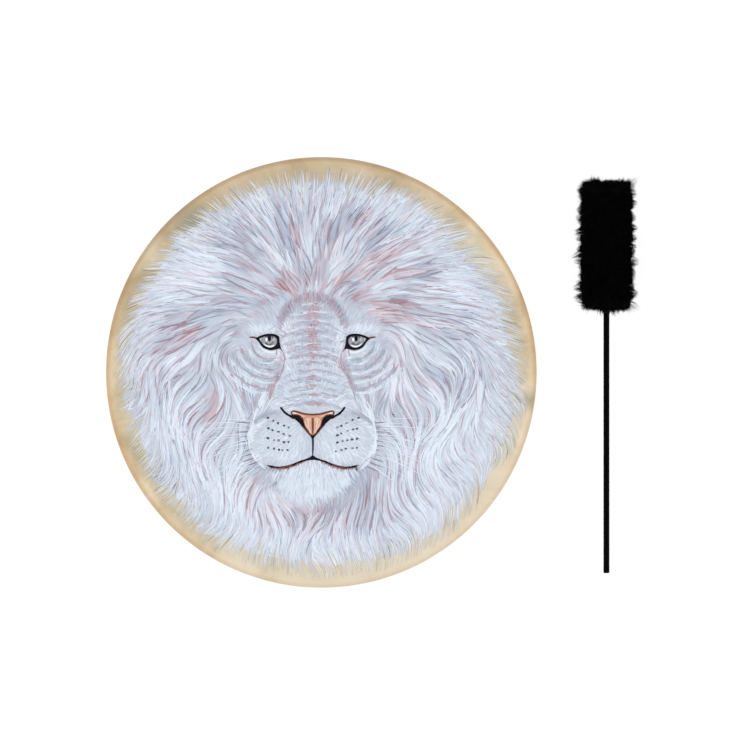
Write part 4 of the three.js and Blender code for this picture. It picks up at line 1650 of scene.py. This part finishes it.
def add_undercoat():
    """The soft mass of the fur, drawn in to the neck."""
    low, high = COAT_START + COAT_CORNER, COAT_END - COAT_CORNER
    coat = turned_beater("fur_undercoat", [
        (ROD_RADIUS + 0.1 * MM, NECK_START), (NECK_RADIUS, NECK_START), (NECK_RADIUS, COAT_START),
        *arc_points((COAT_RADIUS - COAT_CORNER, low), COAT_CORNER, -90, 0, 8),
        *line_points((COAT_RADIUS, low), (COAT_RADIUS, high), 19)[1:-1],
        *arc_points((COAT_RADIUS - COAT_CORNER, high), COAT_CORNER, 0, 86, 8),
    ], 64)
    piece = add_piece("fur_undercoat", coat, [undercoat_material()], "beater", ["beater_fur_cover"])


def longer_at_corners(slant):
    """How much longer hairs grow where the sleeve turns in to its ends, by their slant to its side."""
    return 1 + 0.8 * slant * np.sqrt(1 - slant**2)


def add_fur():
    """Tufts of tapered hairs, rooted all over the sleeve and leaning to its tip or its neck."""
    random = np.random.default_rng(61)
    materials = [Finish(f"fur_{n}", tint, 0.75, 0.04).material for n, tint in enumerate(FUR_TINTS)]
    for name, count, low, high, thick in FUR_LAYERS:
        roots, out = fur_roots(random, count)
        length = random.uniform(low, high, count) * MM
        centres, straight = fur_roots(random, TUFTS)
        slant = np.abs(straight[:, [1]])
        reach = high * MM * (longer_at_corners(slant) - 0.3 * slant**4)
        points = centres + (straight + random.normal(0, 0.35, (TUFTS, 3))) * reach
        nearest = np.argmin(((roots[:, None, :] - centres[None]) ** 2).sum(2), axis=1)
        gather = random.uniform(0.05, 0.85, count)[:, None]
        slant = np.abs(out[:, 1])
        length = length * (longer_at_corners(slant) - np.where(out[:, 1] > 0, 0.5, 0.2) * slant**4)
        free = roots + (out + random.normal(0, 0.12, (count, 3))) * length[:, None]
        tips = free + (points[nearest] - free) * gather
        middle = roots + (0.6 * (tips - roots) + 0.4 * out * length[:, None]) * 0.5
        mesh = hair_mesh(name, roots, middle, tips, random.uniform(0.7, 1.2, count) * thick * MM, random)
        add_piece(name, mesh, materials, "beater")


def fur_roots(random, count):
    """Even places just under the coat's surface, with the direction straight out of it at each."""
    radius, start, end = COAT_RADIUS - ROOT_DEPTH, COAT_START + ROOT_DEPTH, COAT_END - ROOT_DEPTH
    ends = int(count * 0.27)
    angle = random.random(count) * TAU
    along = random.uniform(start + COAT_CORNER, end - COAT_CORNER, count)
    out_radius, tilt = np.full(count, radius), np.zeros(count)
    flat = np.sqrt(random.random(ends)) * radius
    over = np.clip((flat - (radius - COAT_CORNER)) / COAT_CORNER, 0, 1)
    drop = COAT_CORNER * (1 - np.sqrt(1 - over**2))
    at_tip = np.arange(ends) < ends * 0.55
    out_radius[:ends] = flat
    along[:ends] = np.where(at_tip, end - drop, start + drop)
    tilt[:ends] = math.pi / 2 * (1 - over) * np.where(at_tip, 1, -1)
    round_x, round_z = np.cos(angle), np.sin(angle)
    roots = np.stack([out_radius * round_x, along, out_radius * round_z], 1)
    out = np.stack([np.cos(tilt) * round_x, np.sin(tilt), np.cos(tilt) * round_z], 1)
    return roots, out


def hair_mesh(name, roots, middle, tips, widths, random):
    """Three-sided tapered hairs, each a closed body, from places beside and along the beater's axis."""
    count = len(roots)
    spin = random.random(count) * TAU
    axis = tips - roots
    axis /= np.linalg.norm(axis, axis=1, keepdims=True)
    guide = np.where(np.abs(axis[:, [1]]) < 0.8, [[0, 1, 0]], [[1, 0, 0]])
    first = np.cross(axis, guide)
    first /= np.linalg.norm(first, axis=1, keepdims=True)
    second = np.cross(axis, first)
    rows = []
    for centre, share in ((roots, 1), (middle, 0.8)):
        for turn in angles_round(3):
            out = first * np.cos(spin + turn)[:, None] + second * np.sin(spin + turn)[:, None]
            rows.append(centre + out * (widths * share)[:, None])
    corners = np.stack([*rows, tips], 1)
    vertices = corners.reshape(-1, 3) @ np.array(BEATER_TURN.to_matrix()).T + np.array(BEATER_FOOT)
    lowest = BACK_Z + np.repeat(random.uniform(0.1, 0.9, count), corners.shape[1]) * MM
    vertices[:, 2] = np.maximum(vertices[:, 2], lowest)
    faces = [(2, 1, 0)]
    for k in range(3):
        m = (k + 1) % 3
        faces += [(k, m, 3 + m), (k, 3 + m, 3 + k), (3 + k, 3 + m, 6)]
    tints = random.choice(len(FUR_TINTS), count, p=FUR_TINT_SHARES)
    triangles = repeat_faces(faces, corners.shape[1], count)
    return triangle_mesh(name, vertices, triangles, np.repeat(tints, len(faces)))


def add_binding():
    """Waxed thread wound round the cover's neck."""
    radius = NECK_RADIUS + 0.3 * MM
    points = []
    for turn in np.linspace(0, BINDING_TURNS, BINDING_TURNS * 32 + 1):
        along = NECK_START + (1.6 + 0.66 * turn) * MM
        points.append(beater_place(radius * math.cos(TAU * turn), along, radius * math.sin(TAU * turn)))
    mesh = sweep("neck_thread", points, lambda s: (THREAD_RADIUS, THREAD_RADIUS, 0), 8)
    add_piece("neck_thread", mesh, [thread_material()], "beater", ["beater_neck_binding"])


def dress_node(node, material):
    """Gives a piece of the CAD frame that stays a material."""
    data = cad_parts[node].data
    data.materials.clear()
    data.materials.append(material)


# ---------------------------------------------------------------- run

add_camera()
add_floor()
add_light()
add_hide()
add_painting()
add_hoop()
add_laces()
add_wraps()
add_ring()
add_rod()
add_undercoat()
add_fur()
add_binding()
dress_node("beater_core", wood_material("core_birch", 3))
dress_node("beater_padding", felt_material())
